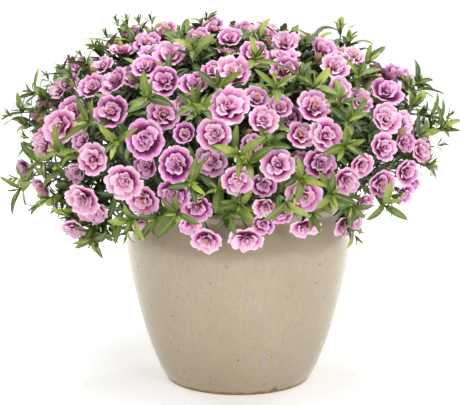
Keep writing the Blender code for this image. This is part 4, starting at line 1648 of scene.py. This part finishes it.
@dataclass(frozen=True)
class GrainFinish:
    """A dull, rough stuff of two shades, mottled by its grain in millimetres."""

    name: str
    colour: str
    darker: str
    roughness: float
    grain: float

    def build(self) -> bpy.types.Material:
        """Makes the material.

        Returns:
            The material.
        """
        n = Finish(self.name)
        grain = {"Vector": n.add("NewGeometry"), "Scale": 1 / (self.grain * MM), "Detail": 4.0}
        mixed = {0: n.add("TexNoise", grain), 6: srgb(self.darker), 7: srgb(self.colour)}
        n.feed(n.shader, {"Base Color": n.add("Mix", mixed, data_type="RGBA"), "Roughness": self.roughness})
        return n.material


class Stuff(Enum):
    """The plain stuffs of the plant and its pot."""

    # Pollen on ripe anthers: loose dust, which looks yellow and quite dull. Its real grain of 0.03 mm
    # is too fine to show, so it is drawn as coarse as the anthers are wide.
    POLLEN = GrainFinish("anther_pollen_yellow", "#E8C23A", "#C98F1E", 0.8, 1.7)
    # Petals that have dried and crumpled: papery, tan and dull.
    SPENT = GrainFinish("spent_petal_dried", "#C2A07C", "#8A6446", 0.85, 3.3)
    # Moist peat and bark, crumbled: nearly black, with no shine.
    SOIL = GrainFinish("potting_mix_crumbled", "#4A382B", "#1E1610", 0.95, 3.8)


# A white floor whose glow is painted light: it glows though it is no lamp, and more away from the pot, so that the
# eye gets a white ground with only a soft shadow.
@dataclass(frozen=True)
class FloorFinish:
    """The white floor, with its painted glow."""

    near: float = 0.42
    far: float = 0.80
    # The painted glow rises between these distances from the pot's axis, in metres.
    rise: tuple = (0.25, 0.8)

    def build(self) -> bpy.types.Material:
        """Makes the material.

        Returns:
            The floor's material.
        """
        n = Finish("studio_floor_painted_glow")
        flat = n.add("VectorMath", {0: n.add("NewGeometry"), 1: (1.0, 1.0, 0.0)}, operation="MULTIPLY")
        away = n.add("VectorMath", {0: flat}, operation="LENGTH").outputs["Value"]
        low, high = self.rise
        # Painted light: the floor's emission grows with the distance from the pot's axis.
        painted_glow = n.add("MapRange", {"Value": away, "From Min": low, "From Max": high,
                                  "To Min": self.near, "To Max": self.far})
        n.feed(n.shader, {"Base Color": (0.95, 0.95, 0.95, 1.0), "Roughness": 0.9,
                          "Emission Color": (1.0, 1.0, 1.0, 1.0), "Emission Strength": painted_glow})
        return n.material


# Stoneware, thrown, dipped in a feldspar glaze and fired. The glaze is glass, so the eye gets a clear
# gloss over a warm greige with fine crackle, pinholes, runs and a bare clay foot.
@dataclass(frozen=True)
class GlazeFinish:
    """Glossy greige glaze with a fine crackle, pinholes, milky runs, a bare foot, and a darker band near the top that
    is painted reflection of the foliage over the pot.
    """

    base: str = "#B5A68C"
    light: str = "#C3B59B"
    dark: str = "#A3947A"
    crack: str = "#8C7A5C"
    drip: str = "#A1937C"
    # Painted reflection: the darker band round the top stands for the foliage mirrored in the glaze.
    foliage_reflection: str = "#96866A"
    milk: str = "#9DA3A6"
    chip: str = "#6B543A"
    clay: str = "#9A7453"
    ior: float = 1.52
    # Sizes in millimetres: clouds of shade, the width of runs and drips, the crackle's cells, milky
    # streaks and the patches they keep to, and the chips of the foot. Real crackle lines are 0.1 mm,
    # too fine to show, so they are drawn about 0.3 mm wide.
    cloud: float = 70.0
    run: float = 8.0
    drip_width: float = 2.4
    crackle: float = 3.0
    streak: float = 6.7
    patch: float = 59.0
    wear: float = 10.5
    # Pinholes: their spacing, how few there are, their size as a share of the spacing, and their colour.
    pits: tuple = ((16.0, 0.80, 0.075, "#4A3624"), (5.3, 0.86, 0.16, "#8D7654"))

    def build(self) -> bpy.types.Material:
        """Makes the material.

        Returns:
            The pot's material.
        """
        n = Finish("stoneware_glaze_fired_and_crackled")
        place = n.add("NewGeometry").outputs["Position"]
        split = n.add("SeparateXYZ", {0: place})
        # Clouds, runs, drips, streaks, patches and wear: size, detail, and how squat the pattern is.
        cloud, runs, drips, streaks, patches, wear = (
            n.add("TexNoise", {"Vector": n.add("Mapping", {"Vector": place, "Scale": (1.0, 1.0, squat)}),
                               "Scale": 1 / (size * MM), "Detail": detail})
            for size, detail, squat in (
                (self.cloud, 3.0, 1.0), (self.run, 5.0, 0.10), (self.drip_width, 3.0, 0.05),
                (self.streak, 3.0, 0.14), (self.patch, 1.0, 1.0), (self.wear, 2.0, 1.0))
        )
        cells = n.add("TexVoronoi", {"Vector": place, "Scale": 1 / (self.crackle * MM)},
                      feature="DISTANCE_TO_EDGE")
        # Painted reflection of the foliage: above a wavy edge near the top, the glaze is mixed darker.
        reflection_band_edge = n.add("Math", {0: cloud, 1: 0.05, 2: split.outputs["Z"]}, operation="MULTIPLY_ADD")
        layers = [
            (n.add("Math", {0: runs, 1: 0.55}, operation="MULTIPLY"), self.base),
            (n.add("MapRange", {"Value": cells, "From Max": 1 / 9, "To Min": 0.30, "To Max": 0.0}), self.crack),
            (n.add("MapRange", {"Value": drips, "From Min": 0.45, "From Max": 0.45 + 1 / 1.1}), self.drip),
            (n.add("MapRange", {"Value": reflection_band_edge, "From Min": 0.168, "From Max": 0.173, "To Max": 0.34}), self.foliage_reflection),
        ]
        for spacing, fewness, size, code in self.pits:
            pits = n.add("TexVoronoi", {"Vector": place, "Scale": 1 / (spacing * MM)}, feature="F1")
            chance = n.add("SeparateXYZ", {0: pits.outputs["Color"]})
            reach = n.add("Math", {0: chance.outputs["Y"], 1: size * 1.6}, operation="MULTIPLY")
            dot = n.add("Math", {0: pits.outputs["Distance"], 1: reach}, operation="LESS_THAN")
            chosen = n.add("Math", {0: chance.outputs["X"], 1: fewness}, operation="GREATER_THAN")
            dot = n.add("Math", {0: dot, 1: chosen}, operation="MULTIPLY")
            layers.append((n.add("Math", {0: dot, 1: 0.85}, operation="MULTIPLY"), code))
        milky = n.add("MapRange", {"Value": streaks, "From Min": 0.54, "From Max": 0.54 + 1 / 7})
        there = n.add("MapRange", {"Value": patches, "From Min": 0.50, "From Max": 0.50 + 1 / 7})
        right = n.add("MapRange", {"Value": split.outputs["X"], "From Min": -0.02, "From Max": 0.04,
                                   "To Max": 0.75})
        milky = n.add("Math", {0: milky, 1: there}, operation="MULTIPLY")
        layers.append((n.add("Math", {0: milky, 1: right}, operation="MULTIPLY"), self.milk))
        low = n.add("MapRange", {"Value": split.outputs["Z"], "From Min": 0.016, "From Max": 0.004,
                                 "To Max": 0.8})
        chips = n.add("Math", {0: wear, 1: 0.66}, operation="GREATER_THAN")
        layers.append((n.add("Math", {0: chips, 1: low}, operation="MULTIPLY"), self.chip))
        edge = n.add("Math", {0: wear, 1: 0.006, 2: split.outputs["Z"]}, operation="MULTIPLY_ADD")
        foot = n.add("MapRange", {"Value": edge, "From Min": 0.0070, "From Max": 0.0058})
        layers.append((foot, self.clay))
        colour = n.add("Mix", {0: cloud, 6: srgb(self.dark), 7: srgb(self.light)}, data_type="RGBA")
        for share, code in layers:
            colour = n.add("Mix", {0: share, 6: colour, 7: srgb(code)}, data_type="RGBA")
        gloss = n.add("MapRange", {"Value": cloud, "To Min": 0.09, "To Max": 0.18})
        bare = n.add("Math", {0: foot, 1: 0.85}, operation="MULTIPLY")
        rough = n.add("Math", {0: gloss, 1: bare}, operation="MAXIMUM")
        relief = n.add("Bump", {"Strength": 0.10, "Distance": 0.4 * MM, "Height": runs})
        n.feed(n.shader, {"Base Color": colour, "Roughness": rough, "Normal": relief, "IOR": self.ior})
        return n.material


@dataclass
class Pot:
    """The turned pot: a smooth curve through the frame's section, with a rounded lip and foot."""

    segments: int = 160
    steps: int = 6
    foot_radius: float = 66.0 * MM
    floor_radius: float = 40 * MM
    hole_sides: int = 32

    def outside(self) -> list:
        """Smooths the frame's outer section.

        Returns:
            Radius and height pairs, from the foot to the lip.
        """
        keys = [(r * MM, h * MM) for h, r in POT.outside]
        smooth = []
        for i in range(len(keys) - 1):
            four = [keys[min(max(j, 0), len(keys) - 1)] for j in range(i - 1, i + 3)]
            for j in range(self.steps):
                smooth.append(tuple(self.spline(*values, j / self.steps) for values in zip(*four)))
        return smooth + [keys[-1]]

    def spline(self, before: float, a: float, b: float, after: float, t: float) -> float:
        """One value of the smooth curve that runs from a to b, past its neighbours."""
        pull = 2 * a + (b - before) * t + (2 * before - 5 * a + 4 * b - after) * t * t
        return 0.5 * (pull + (3 * a - before - 3 * b + after) * t ** 3)

    def drill(self, pot: bpy.types.Object) -> None:
        """Cuts the drain holes through the pot's base.

        Args:
            pot: the pot's object.
        """
        body = bmesh.new()
        body.from_mesh(pot.data)
        bmesh.ops.remove_doubles(body, verts=body.verts, dist=0.001 * MM)
        body.to_mesh(pot.data)
        body.free()
        cutters = []
        for i in range(POT.drain_holes):
            angle = TURN * i / POT.drain_holes
            flat = (POT.drain_circle * math.cos(angle), POT.drain_circle * math.sin(angle))
            low = Vector((*flat, -2 * MM))
            route = [low, low + Vector((0, 0, POT.floor + 4 * MM))]
            points, faces = tube_shape(route, [POT.drain_radius] * 2, self.hole_sides)
            mesh = bpy.data.meshes.new("drain_cutter")
            mesh.from_pydata(points, [], faces)
            cutter = bpy.data.objects.new("drain_cutter", mesh)
            bpy.context.scene.collection.objects.link(cutter)
            cut = pot.modifiers.new("drain", "BOOLEAN")
            cut.operation, cut.solver, cut.object = "DIFFERENCE", "EXACT", cutter
            cutters.append(cutter)
        drilled = pot.evaluated_get(bpy.context.evaluated_depsgraph_get())
        mesh = bpy.data.meshes.new_from_object(drilled)
        pot.modifiers.clear()
        pot.data = mesh
        for cutter in cutters:
            bpy.data.objects.remove(cutter)

    def build(self, look: bpy.types.Material) -> None:
        """Makes the pot.

        Args:
            look: its material.
        """
        outside = self.outside()
        rim = outside[-1][0]
        lip = [(rim - 1.2 * MM, POT.top), (rim - POT.wall + 1.5 * MM, POT.top)]
        low, high = POT.floor + 2 * MM, POT.top - 1 * MM
        inside = [(r - POT.wall, h) for r, h in reversed(outside) if low < h < high]
        base = [(0.0, 0.0), (self.foot_radius, 0.0)]
        floor = [(self.floor_radius, POT.floor), (0.0, POT.floor)]
        section = np.array(base + outside + lip + inside + floor)
        angle = np.linspace(0, TURN, self.segments, endpoint=False)[None, :]
        radius, height = section[:, :1], section[:, 1:]
        points = np.stack([radius * np.cos(angle), radius * np.sin(angle), height + 0 * angle], axis=-1)
        sink = MeshSink()
        sink.grid(points, grid_coords(len(section), self.segments), 0.5, Part.PETAL, closed=True)
        pot = sink.build("Stoneware_Pot", [look])
        self.drill(pot)
        pot.data.shade_smooth()
        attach(pot, "root")
        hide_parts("pot")
        LOG.info("%s stands for pot", pot.name)


@dataclass
class Soil:
    """The crumbly top of the potting mix, and its plain body inside the pot's wall."""

    segments: int = 96
    rings: int = 40
    crumb: float = 1.6
    gap: float = 0.5 * MM

    def build(self, look: bpy.types.Material) -> None:
        """Makes the soil.

        Args:
            look: its material.
        """
        draw = random.Random(SEED + 2)
        reach = POT.outer_radius(POT.soil_top) - POT.wall - self.gap
        rows = []
        for i in range(self.rings + 1):
            radius = reach * max(i, 0.02) / self.rings
            sunk = 2 * MM if i == self.rings else 0.0
            row = []
            for k in range(self.segments):
                angle = TURN * k / self.segments
                height = POT.soil_top + draw.uniform(-self.crumb, self.crumb) * MM - sunk
                row.append((radius * math.cos(angle), radius * math.sin(angle), height))
            rows.append(row)
        rows.append(ring(self.segments, 66 * MM, POT.floor + 2 * MM))
        rows.append(ring(self.segments, 0.5 * MM, POT.floor + 1 * MM))
        sink = MeshSink()
        sink.grid(np.array(rows), grid_coords(len(rows), self.segments), 0.5, Part.PETAL, closed=True)
        soil = sink.build("Potting_Mix", [look])
        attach(soil, "root")
        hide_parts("soil")
        LOG.info("%s stands for soil", soil.name)


@dataclass
class Studio:
    """The white floor, the soft lights and the camera at the photo's angle."""

    eye: tuple = (-0.0083, -1.700, 0.520)
    aim: tuple = (-0.0083, 0.0, 0.178)
    lens: float = 135.9
    sensor: float = 36.0
    # How bright the white world is as a light. The camera and reflections see it fully white.
    sky: float = 0.31
    floor_half: float = 8
    # Soft lights: name, place, the point they face, width and height, and power.
    lights: tuple = (
        ("Overhead", (0.0, -0.2, 1.7), (0, 0, 0.2), (1.3, 1.0), 25.0),
        ("Front_Right", (0.9, -1.6, 1.1), (0, 0, 0.22), (0.7, 0.7), 9.0),
        ("Strip_Left", (-0.95, 1.0, 0.42), (0, 0, 0.15), (0.16, 0.8), 5.0),
        ("Strip_Right", (0.95, 1.0, 0.42), (0, 0, 0.15), (0.16, 0.8), 5.0),
    )

    def stand(self, name: str, data: bpy.types.ID, at: tuple, aim: tuple) -> bpy.types.Object:
        """Puts a light or a camera in place.

        Args:
            name: its name.
            data: the light's or the camera's data.
            at: where it stands.
            aim: the point it faces.

        Returns:
            The new object.
        """
        made = bpy.data.objects.new(name, data)
        made.location = at
        made.rotation_euler = (Vector(aim) - Vector(at)).to_track_quat("-Z", "Y").to_euler()
        bpy.context.scene.collection.objects.link(made)
        return made

    def build(self) -> None:
        """Puts the floor, lights, world and camera in place."""
        scene = bpy.context.scene
        half = self.floor_half
        mesh = bpy.data.meshes.new("Floor")
        mesh.from_pydata([(-half, -half, 0), (half, -half, 0), (half, half, 0), (-half, half, 0)], [], [(0, 1, 2, 3)])
        mesh.materials.append(FloorFinish().build())
        floor = bpy.data.objects.new("Floor", mesh)
        scene.collection.objects.link(floor)
        for name, at, aim, size, watts in self.lights:
            data = bpy.data.lights.new(name, "AREA")
            data.shape, data.energy = "RECTANGLE", watts
            data.size, data.size_y = size
            self.stand(name, data, at, aim)
        world = bpy.data.worlds.new("studio_white")
        scene.world = world
        world.use_nodes = True
        n = Wiring(world.node_tree)
        path = n.add("LightPath").outputs
        seen = n.add("Math", {0: path["Is Camera Ray"], 1: path["Is Glossy Ray"]}, operation="MAXIMUM")
        level = n.add("MapRange", {"Value": seen, "To Min": self.sky, "To Max": 1.0})
        n.feed(world.node_tree.nodes["Background"], {0: (1.0, 1.0, 1.0, 1.0), 1: level})
        data = bpy.data.cameras.new("Camera")
        data.lens, data.sensor_width = self.lens, self.sensor
        scene.camera = self.stand("Camera", data, self.eye, self.aim)
        scene.view_settings.view_transform = "Standard"
        scene.view_settings.look = "None"
        LOG.info("the studio is ready")


def main() -> None:
    """Builds the plant, the pot, the soil and the studio, in that order."""
    logging.basicConfig(level=logging.INFO, format="%(message)s")
    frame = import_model()
    plant = Plant()
    plant.grow()
    LOG.info("the layout has %d blooms and %d tips", len(plant.blooms), len(plant.tips))
    looks = [PetalFinish().build(), LeafFinish().build(), Stuff.POLLEN.value.build(), Stuff.SPENT.value.build()]
    Thicket(plant).build(looks, frame["nodes"])
    Pot().build(GlazeFinish().build())
    Soil().build(Stuff.SOIL.value.build())
    Studio().build()


if __name__ == "__main__":
    main()
